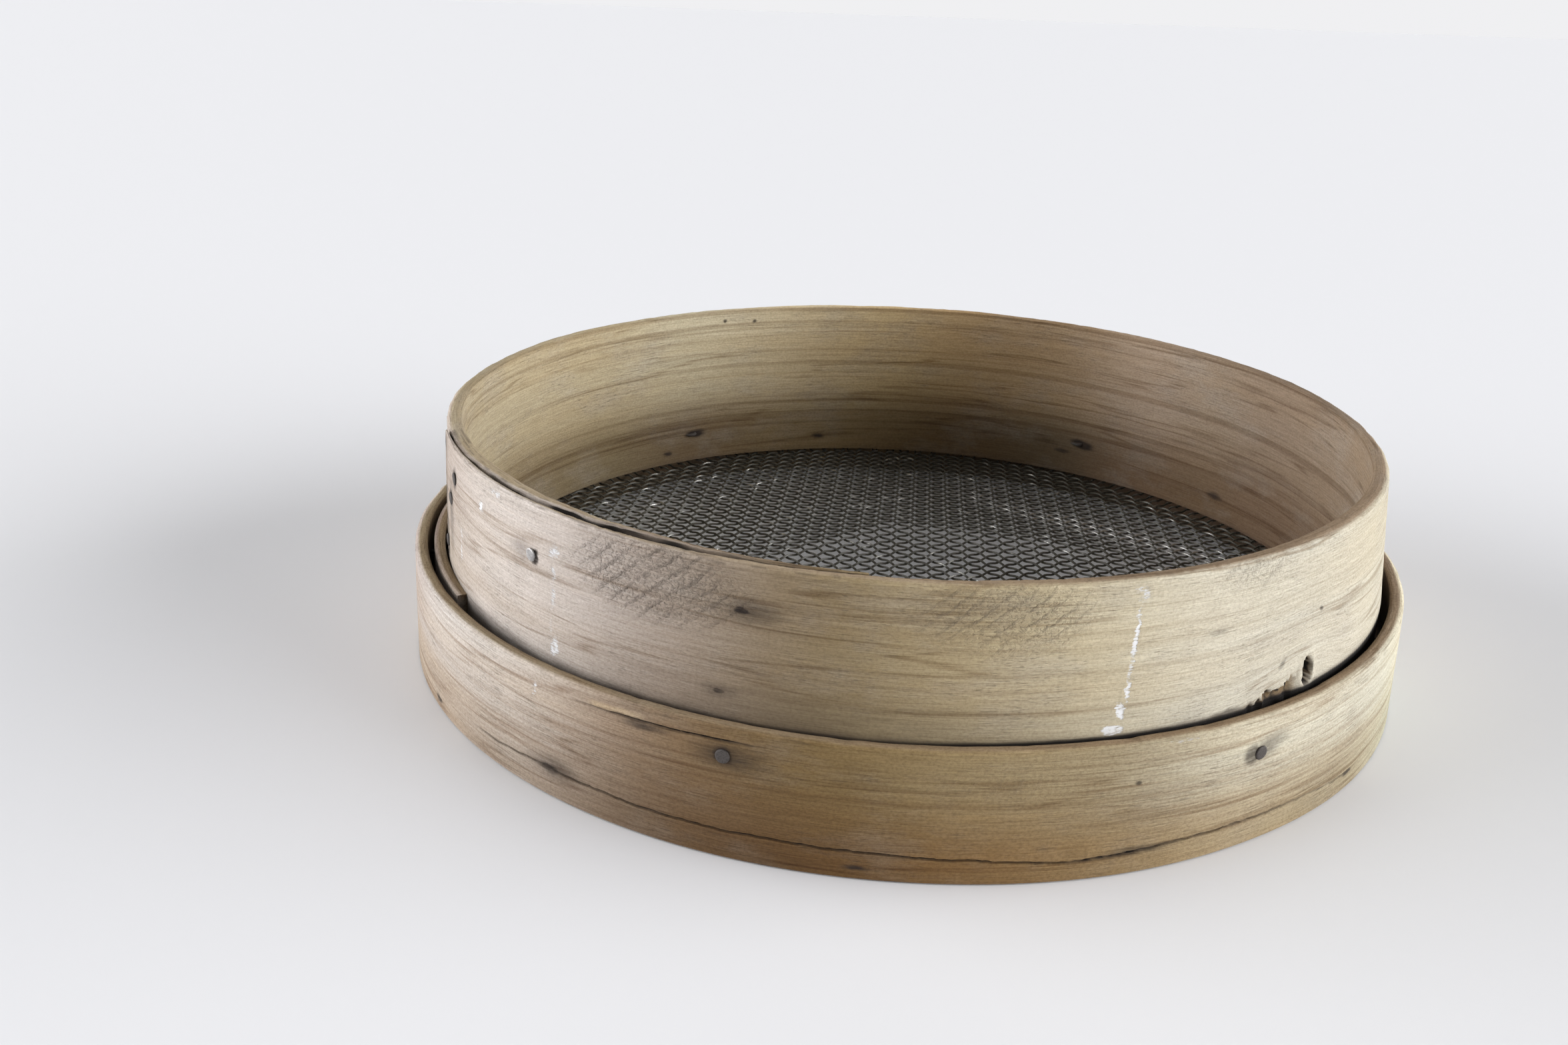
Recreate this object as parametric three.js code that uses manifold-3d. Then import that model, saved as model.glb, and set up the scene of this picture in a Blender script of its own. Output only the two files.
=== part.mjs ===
// A round bentwood flour sieve. A tall lapped hoop carries woven wire cloth across its lower edge.
// A short lapped hoop slides over it, grips the cloth's turned-up edge and is nailed through.
// Millimetres, +Z up. The origin is the centre of the short hoop's bottom edge.
// Azimuths are in degrees, counted anticlockwise from +X. Both strips run clockwise from their
// inner end, so "turned" is how far round from that end a point of the strip lies.
import * as THREE from 'three';
import { mergeVertices } from 'three/addons/utils/BufferGeometryUtils.js';
import Module from 'manifold-3d';

const wasm = await Module();
wasm.setup();

// Driving dimensions
const TOTAL_HEIGHT = 85;
const CLEARANCE = 0.3; // between separate pieces
const LAYER_GAP = 0.4; // between a strip's own layers in its lap
const STEP = 2.5; // degrees between the points along a strip
const FULL_TURN = 360;

// Lower hoop: one strip, its inner end square and its outer end behind
const LOWER_RADIUS = 180;
const LOWER_HEIGHT = 40.3;
const LOWER_THICKNESS = 4.4;
const LOWER_START = -145;
const LOWER_LAP = 65;
const LOWER_RISE = 30; // degrees over which the strip steps out past its own outer end

// Upper hoop: both ends of the strip are scarfed thin
const UPPER_RADIUS = 166.6; // outside, at the rim
const UPPER_FLARE = 2.8; // how much wider the hoop is at its lower edge
const UPPER_THICKNESS = 5.2;
const UPPER_START = -92.5;
const UPPER_LAP = 65;
const UPPER_TIP = 0.8; // thickness left at a scarfed end
const UPPER_SCARF_OUT = 127.5; // degrees over which the outer end thins
const UPPER_SCARF_IN = 45; // degrees over which the inner end thins
const UPPER_RISE = 20; // degrees over which the strip steps out past its own outer end

// Wire cloth
const WIRE_PITCH = 5.08;
const WIRE_SIZE = 0.9;
const WIRES_EACH_SIDE = 31;
const CLOTH_BOTTOM = 10.9;
const CLOTH_RADIUS = 169.4;
const CLOTH_OPEN_RADIUS = 162; // inside this the wires are free, outside it they are held
const CLOTH_CORNERS = 96;
const EDGE_THICKNESS = 0.8;
const EDGE_TOP = 24;

// Nails
const HEAD_RADIUS = 2.15;
const HEAD_HEIGHT = 0.8;
const HEAD_CHAMFER = 0.3;
const HEAD_SIDES = 16;
const SHANK_RADIUS = 0.9;
const SHANK_SIDES = 8;
const SHANK_STEPS = 14;
const CLINCH_BEND = 1.6;
const CLINCH_LENGTH = 5.5;
const TACK_LENGTH = 8;
const FLUSH = -0.1; // how far a head's face stands out from the wood
const PROUD = 1.15;

const BAND_NAILS = [
  { azimuth: -104.2, height: 31.3 },
  { azimuth: -53.6, height: 28.9 },
  { azimuth: 3, height: 29 },
  { azimuth: 59.7, height: 28.7 },
  { azimuth: 127.3, height: 26.7 },
  { azimuth: -167, height: 29 },
];
const LAP_NAILS = [
  { azimuth: -129.7, height: 68.4 },
  { azimuth: -150.1, height: 73.8 },
  { azimuth: -152.3, height: 65 },
  { azimuth: -156.2, height: 46 },
];
const HOOP_TACKS = [
  { azimuth: 156, height: 11 },
  { azimuth: 156, height: 31 },
];

const CLOTH_LAYER = WIRE_SIZE + CLEARANCE;
const UPPER_BOTTOM = CLOTH_BOTTOM + 2 * CLOTH_LAYER;

const COLOURS = {
  upperWood: { color: 0xb8a382, roughness: 0.8, metalness: 0 },
  lowerWood: { color: 0x9c7f58, roughness: 0.78, metalness: 0 },
  wire: { color: 0x6f706c, roughness: 0.45, metalness: 0.9 },
  nail: { color: 0x66625f, roughness: 0.5, metalness: 0.85 },
};

const sieve = new THREE.Group();

const radians = THREE.MathUtils.degToRad;
const { clamp, lerp, smoothstep } = THREE.MathUtils;

function polar(radius, azimuth) {
  return new THREE.Vector2(radius * Math.cos(azimuth), radius * Math.sin(azimuth));
}

function addPiece(name, geometry, finish) {
  const piece = new THREE.Mesh(geometry, new THREE.MeshStandardMaterial(finish));
  piece.name = name;
  sieve.add(piece);
  return piece;
}

// Solids for joining and cutting

function toSolid(geometry) {
  const bare = geometry.index ? geometry.toNonIndexed() : geometry.clone();
  bare.deleteAttribute('normal');
  bare.deleteAttribute('uv');
  const merged = mergeVertices(bare, 1e-4);
  return new wasm.Manifold(new wasm.Mesh({
    numProp: 3,
    vertProperties: new Float32Array(merged.attributes.position.array),
    triVerts: new Uint32Array(merged.index.array),
  }));
}

function toGeometry(solid) {
  const mesh = solid.getMesh();
  const geometry = new THREE.BufferGeometry();
  geometry.setAttribute('position', new THREE.BufferAttribute(mesh.vertProperties, 3));
  geometry.setIndex(new THREE.BufferAttribute(mesh.triVerts, 1));
  return geometry;
}

// Hoops: a strip's outline in plan, extruded upwards, then widened towards the bottom

function stripOutline(strip) {
  const count = Math.round(strip.sweep / STEP);
  const outside = [];
  const inside = [];
  for (let i = 0; i <= count; i += 1) {
    const turned = i * STEP;
    const azimuth = radians(strip.start - turned);
    outside.push(polar(strip.outer(turned), azimuth));
    inside.push(polar(strip.inner(turned), azimuth));
  }
  return new THREE.Shape([...outside, ...inside.reverse()]);
}

function flareDownwards(geometry, flare) {
  const position = geometry.attributes.position;
  for (let i = 0; i < position.count; i += 1) {
    const radius = Math.hypot(position.getX(i), position.getY(i));
    const widened = (radius + flare(position.getZ(i))) / radius;
    position.setXY(i, position.getX(i) * widened, position.getY(i) * widened);
  }
}

function stripGeometry(strip) {
  const depth = strip.top - strip.bottom;
  const geometry = new THREE.ExtrudeGeometry(stripOutline(strip), { depth, bevelEnabled: false });
  geometry.translate(0, 0, strip.bottom);
  flareDownwards(geometry, strip.flare);
  return geometry;
}

const lowerStrip = {
  start: LOWER_START,
  sweep: FULL_TURN + LOWER_LAP,
  bottom: 0,
  top: LOWER_HEIGHT,
  flare: () => 0,
  outer(turned) {
    const step = LOWER_THICKNESS + LAYER_GAP;
    return LOWER_RADIUS - step * (1 - smoothstep(turned, LOWER_LAP, LOWER_LAP + LOWER_RISE));
  },
  inner(turned) {
    return this.outer(turned) - LOWER_THICKNESS;
  },
};

function outerScarfThickness(turned) {
  const beforeEnd = FULL_TURN + UPPER_LAP - turned;
  return lerp(UPPER_TIP, UPPER_THICKNESS, clamp(beforeEnd / UPPER_SCARF_OUT, 0, 1));
}

const upperStrip = {
  start: UPPER_START,
  sweep: FULL_TURN + UPPER_LAP,
  bottom: UPPER_BOTTOM,
  top: TOTAL_HEIGHT,
  flare: (z) => (UPPER_FLARE * (TOTAL_HEIGHT - z)) / (TOTAL_HEIGHT - UPPER_BOTTOM),
  outer(turned) {
    const covering = outerScarfThickness(turned + FULL_TURN) + LAYER_GAP;
    const uncovered = smoothstep(turned, UPPER_LAP, UPPER_LAP + UPPER_RISE);
    return UPPER_RADIUS - covering * (1 - uncovered);
  },
  inner(turned) {
    const atInnerEnd = lerp(UPPER_TIP, UPPER_THICKNESS, clamp(turned / UPPER_SCARF_IN, 0, 1));
    return this.outer(turned) - Math.min(atInnerEnd, outerScarfThickness(turned));
  },
};

// How far from the axis a hoop's bare wall is, on its outside and its inside

function turnedTo(strip, azimuth) {
  return (((strip.start - azimuth) % FULL_TURN) + FULL_TURN) % FULL_TURN;
}

function insideRadius(strip, azimuth, z) {
  return strip.inner(turnedTo(strip, azimuth)) + strip.flare(z);
}

function outsideRadius(strip, azimuth, z) {
  return strip.outer(turnedTo(strip, azimuth) + FULL_TURN) + strip.flare(z);
}

// Nails: local +X points out of the wood, and the head's face is at the local origin

function headGeometry() {
  const profile = [
    new THREE.Vector2(0, -HEAD_HEIGHT),
    new THREE.Vector2(HEAD_RADIUS, -HEAD_HEIGHT),
    new THREE.Vector2(HEAD_RADIUS, -HEAD_CHAMFER),
    new THREE.Vector2(HEAD_RADIUS - HEAD_CHAMFER, 0),
    new THREE.Vector2(0, 0),
  ];
  const head = new THREE.LatheGeometry(profile, HEAD_SIDES);
  head.rotateZ(-Math.PI / 2);
  return head;
}

function shankSection() {
  const corners = [];
  for (let i = 0; i < SHANK_SIDES; i += 1) {
    corners.push(polar(SHANK_RADIUS, (2 * Math.PI * i) / SHANK_SIDES));
  }
  return new THREE.Shape(corners);
}

function shankPath(length, clinched) {
  const start = new THREE.Vector3(-HEAD_HEIGHT / 2, 0, 0);
  const corner = new THREE.Vector3(-length, 0, 0);
  if (!clinched) return new THREE.LineCurve3(start, corner);
  const path = new THREE.CurvePath();
  const beforeBend = new THREE.Vector3(-length + CLINCH_BEND, 0, 0);
  const afterBend = new THREE.Vector3(-length, CLINCH_BEND, 0);
  path.add(new THREE.LineCurve3(start, beforeBend));
  path.add(new THREE.QuadraticBezierCurve3(beforeBend, corner, afterBend));
  path.add(new THREE.LineCurve3(afterBend, new THREE.Vector3(-length, CLINCH_LENGTH, 0)));
  return path;
}

function nailGeometry(length, clinched) {
  const shank = new THREE.ExtrudeGeometry(shankSection(), {
    extrudePath: shankPath(length, clinched),
    steps: clinched ? SHANK_STEPS : 1,
  });
  return toGeometry(toSolid(headGeometry()).add(toSolid(shank)));
}

// The room a nail needs in the wood, along the same local axis
function nailRoom(nail) {
  const shankRoom = SHANK_RADIUS + CLEARANCE;
  const through = nail.length + CLINCH_LENGTH;
  const shank = new THREE.CylinderGeometry(shankRoom, shankRoom, through, HEAD_SIDES);
  shank.translate(0, nail.clinched ? -through / 2 : through / 2 - nail.length - CLEARANCE, 0);
  let room = toSolid(shank);
  if (nail.faceOffset < HEAD_HEIGHT) {
    const headRoom = HEAD_RADIUS + CLEARANCE;
    const sunk = HEAD_HEIGHT + CLEARANCE;
    const head = new THREE.CylinderGeometry(headRoom, headRoom, 2 * sunk, HEAD_SIDES);
    room = room.add(toSolid(head));
  }
  const matrix = new THREE.Matrix4()
    .makeRotationZ(radians(nail.azimuth))
    .setPosition(nailPosition(nail))
    .multiply(new THREE.Matrix4().makeRotationZ(-Math.PI / 2));
  return room.transform(matrix.elements);
}

function nailPosition(nail) {
  const place = polar(nail.faceRadius, radians(nail.azimuth));
  return new THREE.Vector3(place.x, place.y, nail.height);
}

function nailFrom(strip, place, faceOffset, name) {
  const faceRadius = outsideRadius(strip, place.azimuth, place.height) + faceOffset;
  return { ...place, faceOffset, faceRadius, name };
}

function clinchedNail(strip, place, faceOffset, name) {
  const nail = nailFrom(strip, place, faceOffset, name);
  const wall = insideRadius(upperStrip, place.azimuth, place.height);
  return { ...nail, clinched: true, length: nail.faceRadius - wall + CLEARANCE + SHANK_RADIUS };
}

const bandNails = BAND_NAILS.map((place, i) => (
  clinchedNail(lowerStrip, place, FLUSH, `band_nail_${i + 1}`)
));
const lapNails = LAP_NAILS.map((place, i) => (
  clinchedNail(upperStrip, place, PROUD, `lap_nail_${i + 1}`)
));
const hoopTacks = HOOP_TACKS.map((place, i) => ({
  ...nailFrom(lowerStrip, place, FLUSH, `hoop_tack_${i + 1}`),
  clinched: false,
  length: TACK_LENGTH,
}));

function drilled(strip, nails) {
  let solid = toSolid(stripGeometry(strip));
  for (const nail of nails) solid = solid.subtract(nailRoom(nail));
  return toGeometry(solid);
}

// Wire cloth: one layer of parallel wires with a solid rim, as a disc with straight slots

function slotBetween(low, high) {
  const lowReach = Math.sqrt(CLOTH_OPEN_RADIUS ** 2 - low ** 2);
  const highReach = Math.sqrt(CLOTH_OPEN_RADIUS ** 2 - high ** 2);
  return new THREE.Path([
    new THREE.Vector2(-lowReach, low),
    new THREE.Vector2(lowReach, low),
    new THREE.Vector2(highReach, high),
    new THREE.Vector2(-highReach, high),
  ]);
}

function wireLayerGeometry() {
  const rim = [];
  for (let i = 0; i < CLOTH_CORNERS; i += 1) {
    rim.push(polar(CLOTH_RADIUS, (2 * Math.PI * i) / CLOTH_CORNERS));
  }
  const disc = new THREE.Shape(rim);
  for (let i = -WIRES_EACH_SIDE; i < WIRES_EACH_SIDE; i += 1) {
    const low = i * WIRE_PITCH + WIRE_SIZE / 2;
    const high = (i + 1) * WIRE_PITCH - WIRE_SIZE / 2;
    disc.holes.push(slotBetween(low, high));
  }
  return new THREE.ExtrudeGeometry(disc, { depth: WIRE_SIZE, bevelEnabled: false });
}

function clothEdgeGeometry() {
  const inner = CLOTH_RADIUS + CLEARANCE;
  const outer = inner + EDGE_THICKNESS;
  const profile = [
    new THREE.Vector2(inner, CLOTH_BOTTOM),
    new THREE.Vector2(outer, CLOTH_BOTTOM),
    new THREE.Vector2(outer, EDGE_TOP),
    new THREE.Vector2(inner, EDGE_TOP),
    new THREE.Vector2(inner, CLOTH_BOTTOM),
  ];
  const edge = new THREE.LatheGeometry(profile, CLOTH_CORNERS);
  edge.rotateX(Math.PI / 2);
  return edge;
}

// Assembly

addPiece('upper_hoop', drilled(upperStrip, [...bandNails, ...lapNails]), COLOURS.upperWood);
addPiece('lower_hoop', drilled(lowerStrip, [...bandNails, ...hoopTacks]), COLOURS.lowerWood);

const warp = addPiece('warp_wires', wireLayerGeometry(), COLOURS.wire);
warp.rotation.z = radians(45);
warp.position.z = CLOTH_BOTTOM;

const weft = addPiece('weft_wires', wireLayerGeometry(), COLOURS.wire);
weft.rotation.z = radians(-45);
weft.position.z = CLOTH_BOTTOM + CLOTH_LAYER;

addPiece('cloth_edge', clothEdgeGeometry(), COLOURS.wire);

for (const nail of [...bandNails, ...lapNails, ...hoopTacks]) {
  const piece = addPiece(nail.name, nailGeometry(nail.length, nail.clinched), COLOURS.nail);
  piece.position.copy(nailPosition(nail));
  piece.rotation.z = radians(nail.azimuth);
}

export default sieve;
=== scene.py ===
"""Looks of an old round flour sieve: two nailed bentwood hoops with woven wire cloth between them.

Metres, +Z up. The sieve stands on z = 0 with its axis on the origin. Azimuths are in degrees,
anticlockwise from +X, and the camera stands on the -Y side. Each hoop is one strip that runs
clockwise from its inner end, and "turned" is how far round from that end a point lies.
"""
import math

import bpy
import numpy as np
from mathutils import Matrix, Vector


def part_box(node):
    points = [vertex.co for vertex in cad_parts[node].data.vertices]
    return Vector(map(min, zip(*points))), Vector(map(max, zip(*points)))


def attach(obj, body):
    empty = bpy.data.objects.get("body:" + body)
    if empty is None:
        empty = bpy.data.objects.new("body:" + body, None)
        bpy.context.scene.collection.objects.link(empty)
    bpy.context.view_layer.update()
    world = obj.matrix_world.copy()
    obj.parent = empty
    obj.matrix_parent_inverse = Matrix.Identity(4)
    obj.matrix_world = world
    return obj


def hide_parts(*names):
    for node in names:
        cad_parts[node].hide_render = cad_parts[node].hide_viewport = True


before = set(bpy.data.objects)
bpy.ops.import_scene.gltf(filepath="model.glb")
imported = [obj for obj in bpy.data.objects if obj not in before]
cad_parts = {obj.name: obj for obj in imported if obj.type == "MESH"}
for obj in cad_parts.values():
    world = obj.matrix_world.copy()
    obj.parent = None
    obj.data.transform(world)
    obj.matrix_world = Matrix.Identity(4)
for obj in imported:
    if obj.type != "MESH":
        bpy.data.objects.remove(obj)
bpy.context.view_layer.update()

MM = 0.001
FULL_TURN = 360

# Places taken from the frame
lower_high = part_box("lower_hoop")[1]
upper_low, upper_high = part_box("upper_hoop")
warp_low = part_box("warp_wires")[0]
weft_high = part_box("weft_wires")[1]
edge_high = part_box("cloth_edge")[1]

# Lower hoop
LOWER_RADIUS = lower_high.x
LOWER_TOP = lower_high.z
LOWER_THICKNESS = 4.4 * MM
LOWER_INNER_LAYER = 3.6 * MM
LOWER_START = -145
LOWER_LAP = 65
LOWER_RISE = 30
LOWER_LAYER_GAP = 2.2 * MM

# Upper hoop
CAD_FLARE = 2.8 * MM
UPPER_RADIUS = upper_high.x - CAD_FLARE
UPPER_TOP = upper_high.z
UPPER_BOTTOM = upper_low.z
UPPER_THICKNESS = 5.2 * MM
UPPER_TIP = 0.8 * MM
UPPER_START = -92.5
UPPER_LAP = 65
UPPER_SCARF_OUT = 127.5
UPPER_SCARF_IN = 45
UPPER_RISE = 20
UPPER_LAYER_GAP = 0.35 * MM

# Wire cloth
WIRE_PITCH = 5.08 * MM
WIRE_SIZE = 0.88 * MM
WIRES_EACH_SIDE = 31
CLOTH_RADIUS = 0.1672
CLOTH_EDGE_HEIGHT = (warp_low.z + weft_high.z) / 2
CLOTH_DOME = 3.0 * MM
RIDGE_HEIGHT = 3.2 * MM
RIDGE_REACH = 48 * MM

SMOOTH_OFFSETS = (-14, -7, 0, 7, 14)


# Small numeric helpers

def smooth(value, start, end):
    share = np.clip((value - start) / (end - start), 0, 1)
    return share * share * (3 - 2 * share)


def blend(first, second, share):
    return first + (second - first) * np.clip(share, 0, 1)


def hill(value, centre, half_width):
    """1 at the centre, smoothly down to 0 at half_width from it."""
    return 1 - smooth(np.abs(value - centre), 0, half_width)


def azimuth_of(start, turned):
    return (start - turned + 180) % FULL_TURN - 180


def round_hoop(azimuth, keys):
    """Value at each azimuth from (azimuth, value) keys, softened so that it has no kinks."""
    places = [key[0] for key in keys]
    values = [key[1] for key in keys]
    sums = [np.interp(azimuth + offset, places, values, period=FULL_TURN) for offset in SMOOTH_OFFSETS]
    return sum(sums) / len(SMOOTH_OFFSETS)


class SmoothNoise:
    """Seeded value noise from -1 to 1 that repeats after SIZE cells."""

    SIZE = 256

    def __init__(self, seed):
        self.grid = np.random.default_rng(seed).uniform(-1, 1, (self.SIZE, self.SIZE))

    def __call__(self, x, y):
        x, y = np.broadcast_arrays(x, y)
        column, row = np.floor(x).astype(int), np.floor(y).astype(int)
        share_x, share_y = smooth(x - column, 0, 1), smooth(y - row, 0, 1)
        grid, size = self.grid, self.SIZE
        near = blend(grid[column % size, row % size], grid[(column + 1) % size, row % size], share_x)
        far_row = (row + 1) % size
        far = blend(grid[column % size, far_row], grid[(column + 1) % size, far_row], share_x)
        return blend(near, far, share_y)


# Shape of the two strips

UPPER_FLARE_KEYS = [
    (-180, 0.6 * MM), (-150, 1.4 * MM), (-120, 5.3 * MM), (-90, 6.3 * MM), (-60, 5.9 * MM), (-35, 5.4 * MM),
    (0, 4.0 * MM), (45, 3.8 * MM), (90, 3.6 * MM), (135, 2.4 * MM),
]
LOWER_LEAN_KEYS = [
    (-180, 0.6 * MM), (-135, 1.6 * MM), (-90, 2.5 * MM), (-60, 2.3 * MM),
    (-35, 1.8 * MM), (0, 1.2 * MM), (90, 1.0 * MM),
]
FLARE_FULL_HEIGHT = LOWER_TOP  # the flare is whole at the lower hoop's top and stays so below it


def upper_flare(azimuth, z):
    whole = round_hoop(azimuth, UPPER_FLARE_KEYS)
    return whole * np.clip((UPPER_TOP - z) / (UPPER_TOP - FLARE_FULL_HEIGHT), 0, 1)


def lower_lean(azimuth, z):
    return -round_hoop(azimuth, LOWER_LEAN_KEYS) * z / LOWER_TOP


SCARF_FULLNESS = 0.65  # under 1, the outer end thins mostly close to its tip


def outer_scarf(turned):
    before_end = FULL_TURN + UPPER_LAP - turned
    share = np.clip(before_end / UPPER_SCARF_OUT, 0, 1)
    return blend(UPPER_TIP, UPPER_THICKNESS, share ** SCARF_FULLNESS)


def upper_outside(turned):
    covering = outer_scarf(turned + FULL_TURN) + UPPER_LAYER_GAP
    uncovered = smooth(turned, UPPER_LAP, UPPER_LAP + UPPER_RISE)
    return UPPER_RADIUS - covering * (1 - uncovered)


def upper_thickness(turned):
    inner_scarf = blend(UPPER_TIP, UPPER_THICKNESS, turned / UPPER_SCARF_IN)
    return np.minimum(inner_scarf, outer_scarf(turned))


def lower_outside(turned):
    tucked = 1 - smooth(turned, LOWER_LAP, LOWER_LAP + LOWER_RISE)
    gap = LOWER_LAYER_GAP * (1 - 0.6 * smooth(turned, 30, LOWER_LAP))
    return LOWER_RADIUS - (LOWER_THICKNESS + gap) * tucked


def lower_thickness(turned):
    return blend(LOWER_INNER_LAYER, LOWER_THICKNESS, turned / LOWER_LAP)


# Cracks in the lower hoop: height along the hoop, and how deep and open the crack is there

LONG_CRACK = [
    (-136, 7.8), (-130.5, 8.6), (-122.8, 9.6), (-119, 9.3), (-110, 8.8), (-101.7, 8.8), (-90, 8.5),
    (-84.8, 7.9), (-77, 6.9), (-72.8, 5.9), (-68, 6.6), (-64, 7.4), (-58, 7.9),
    (-50, 8.0), (-40, 6.4), (-35, 6.1),
]
LONG_CRACK_OPEN = [
    (-136, 0), (-132, 0.5), (-124, 1.0), (-118, 0.6), (-108, 0.55), (-96, 0.75), (-84, 0.6), (-74, 0.7),
    (-69, 1.3), (-65.5, 1.2), (-62, 0.8), (-56, 0.95), (-51, 0.5), (-46, 0.2), (-38, 0.3), (-34, 0),
]
TOP_CRACK = [(-128, 34.4), (-121.5, 34.9), (-113.7, 35.5), (-106, 35.9), (-98, 36.0)]
TOP_CRACK_OPEN = [(-121, 0), (-118, 0.22), (-114, 0.28), (-111, 0.5), (-105, 0.45), (-102, 0.2), (-99, 0)]
SPLINTER_AZIMUTH, SPLINTER_REACH = -115.0, 4.5  # middle and half length of the pale splinter above it
CRACK_ROWS = np.array([-1.7, -0.9, -0.5, -0.22, 0, 0.22, 0.5, 0.9, 1.7]) * MM
CRACK_DEPTH = 1.6 * MM
LONG_CRACK_WANDER = 0.3 * MM
TOP_CRACK_WANDER = 0.1 * MM

wander_noise = SmoothNoise(11)
surface_noise = SmoothNoise(12)
edge_noise = SmoothNoise(13)
fray_noise = SmoothNoise(14)


def along_keys(azimuth, keys):
    return np.interp(azimuth, [key[0] for key in keys], [key[1] for key in keys])


def crack_height(azimuth, keys, seed_row, most):
    wander = wander_noise(azimuth * 0.55, seed_row) + 0.5 * wander_noise(azimuth * 1.9, seed_row + 7.3)
    return along_keys(azimuth, keys) * MM + most * wander


def crack_shape(z, crack_z, opening):
    """How far into the crack a point is, from 0 beside it to 1 or more where it is open."""
    half_width = (0.28 + 0.45 * opening) * MM
    return np.clip(2 * opening, 0, 1.2) * (1 - smooth(np.abs(z - crack_z[:, None]), 0.1 * MM, half_width))


def crack_opening(azimuth, turned, strip_lap, keys):
    """How open a crack is along the layer that shows outside, and 0 on the layer under it."""
    covered = turned < strip_lap
    ragged = 0.8 + 0.35 * wander_noise(azimuth * 2.3, 31.7)
    return np.where(covered, 0, np.clip(along_keys(azimuth, keys), 0, None) * ragged)


# Meshes of strips: columns along the strip, and in each a loop up the outside, over the top,
# down the inside and back under the bottom

SEEN_FROM, SEEN_TO = -166, -14
FINE_COLUMN = 0.3
TUCKED_COLUMN = 0.6
COARSE_COLUMN = 1.0
RIM_STEPS = np.linspace(0, 1, 10)[1:-1]
BOTTOM_STEPS = np.linspace(0, 1, 5)[1:-1]


def strip_columns(start, lap):
    """Turned angles of the columns, close together where the outer layer faces the camera."""
    turned = [0.0]
    end = FULL_TURN + lap
    while turned[-1] < end - 1e-6:
        azimuth = azimuth_of(start, turned[-1])
        seen = SEEN_FROM < azimuth < SEEN_TO
        step = COARSE_COLUMN
        if seen:
            step = FINE_COLUMN if turned[-1] >= lap else TUCKED_COLUMN
        turned.append(min(end, turned[-1] + step))
    return np.array(turned)


def between(low, high, count):
    """count rows from low (left out) to high (kept), for one value per column or for fixed ends."""
    shares = np.linspace(0, 1, count + 1)[1:]
    return low[:, None] + (high - low)[:, None] * shares[None, :]


def edge_profile(outside, inside, drop_out, drop_in, steps, direction, reach_out):
    """Radius and height of the worn edge that joins an outside row to an inside row."""
    share = steps[None, :]
    radius = blend(outside[0][:, None], inside[0][:, None], share)
    crest = (outside[1] + drop_out * direction)[:, None]
    outer_fall = drop_out[:, None] * (1 - np.clip(share / reach_out, 0, 1)) ** 2
    inner_fall = drop_in[:, None] * (1 - np.clip((1 - share) / 0.3, 0, 1)) ** 2
    return radius, crest - direction * (outer_fall + inner_fall)


def strip_loops(outside, inside, wear, bottom_wear, rim_reach, rim_fibre, thickness):
    """The loops round a strip: its outside, its rim, its inside and its bottom edge."""
    r_out, z_out = outside
    r_in, z_in = inside
    rim_r, rim_z = edge_profile(
        (r_out[:, -1], z_out[:, -1]), (r_in[:, 0], z_in[:, 0]), *wear, RIM_STEPS, 1, rim_reach)
    low_r, low_z = edge_profile(
        (r_in[:, -1], z_in[:, -1]), (r_out[:, 0], z_out[:, 0]), bottom_wear, bottom_wear, BOTTOM_STEPS, -1, 0.3)
    return [
        (r_out, z_out, r_out * 0),
        (rim_r, rim_z + rim_fibre, -thickness * RIM_STEPS[None, :]),
        (r_in, z_in, -thickness + r_in * 0),
        (low_r, low_z, -thickness * (1 - BOTTOM_STEPS[None, :])),
    ]


def strip_object(name, start, turned, loops):
    """Builds the mesh from loops: a list of (radius, height, depth), each columns by rows."""
    radius = np.concatenate([loop[0] for loop in loops], axis=1)
    height = np.concatenate([loop[1] for loop in loops], axis=1)
    depth = np.concatenate([loop[2] for loop in loops], axis=1)
    columns, rows = radius.shape
    angle = np.radians(start - turned)[:, None]
    points = np.stack([radius * np.cos(angle), radius * np.sin(angle), height], axis=-1).reshape(-1, 3)
    index = np.arange(columns * rows).reshape(columns, rows)
    here, after = index[:-1], index[1:]
    quads = np.stack([here, after, np.roll(after, -1, 1), np.roll(here, -1, 1)], axis=-1).reshape(-1, 4)
    faces = quads.tolist() + [index[0].tolist(), index[-1, ::-1].tolist()]
    mesh = new_mesh(name, points, faces, 50)
    along = np.broadcast_to(np.radians(turned)[:, None] * LOWER_RADIUS, radius.shape)
    strip = np.stack([along, height, depth], axis=-1).reshape(-1, 3)
    set_attribute(mesh, "strip", "FLOAT_VECTOR", "vector", strip)
    grain = strip.copy()
    grain[:, 1] -= grain_rise(azimuth_of(start, turned)[:, None], height).ravel()
    set_attribute(mesh, "grain", "FLOAT_VECTOR", "vector", grain)
    return add_object(name, mesh)


def grain_rise(azimuth, height):
    """How far the grain is lifted where it runs over the upper hoop's knothole."""
    near = np.exp(-((azimuth - KNOTHOLE["azimuth"]) / 7.5) ** 2)
    above = (height > LOWER_TOP) * np.exp(-(height - KNOTHOLE["height"]) / (15 * MM))
    return 7 * MM * near * np.clip(above, 0, 1.2)


def set_attribute(mesh, name, kind, field, values):
    attribute = mesh.attributes.new(name, kind, "POINT")
    attribute.data.foreach_set(field, np.ascontiguousarray(values, np.float32).ravel())


def new_mesh(name, points, faces, sharp_angle):
    """A smooth mesh whose edges are sharp where they turn by more than an angle in degrees."""
    mesh = bpy.data.meshes.new(name)
    mesh.from_pydata(points.tolist(), [], faces)
    mesh.validate()
    mesh.update()
    mesh.shade_smooth()
    mesh.set_sharp_from_angle(angle=math.radians(sharp_angle))
    return mesh


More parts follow.
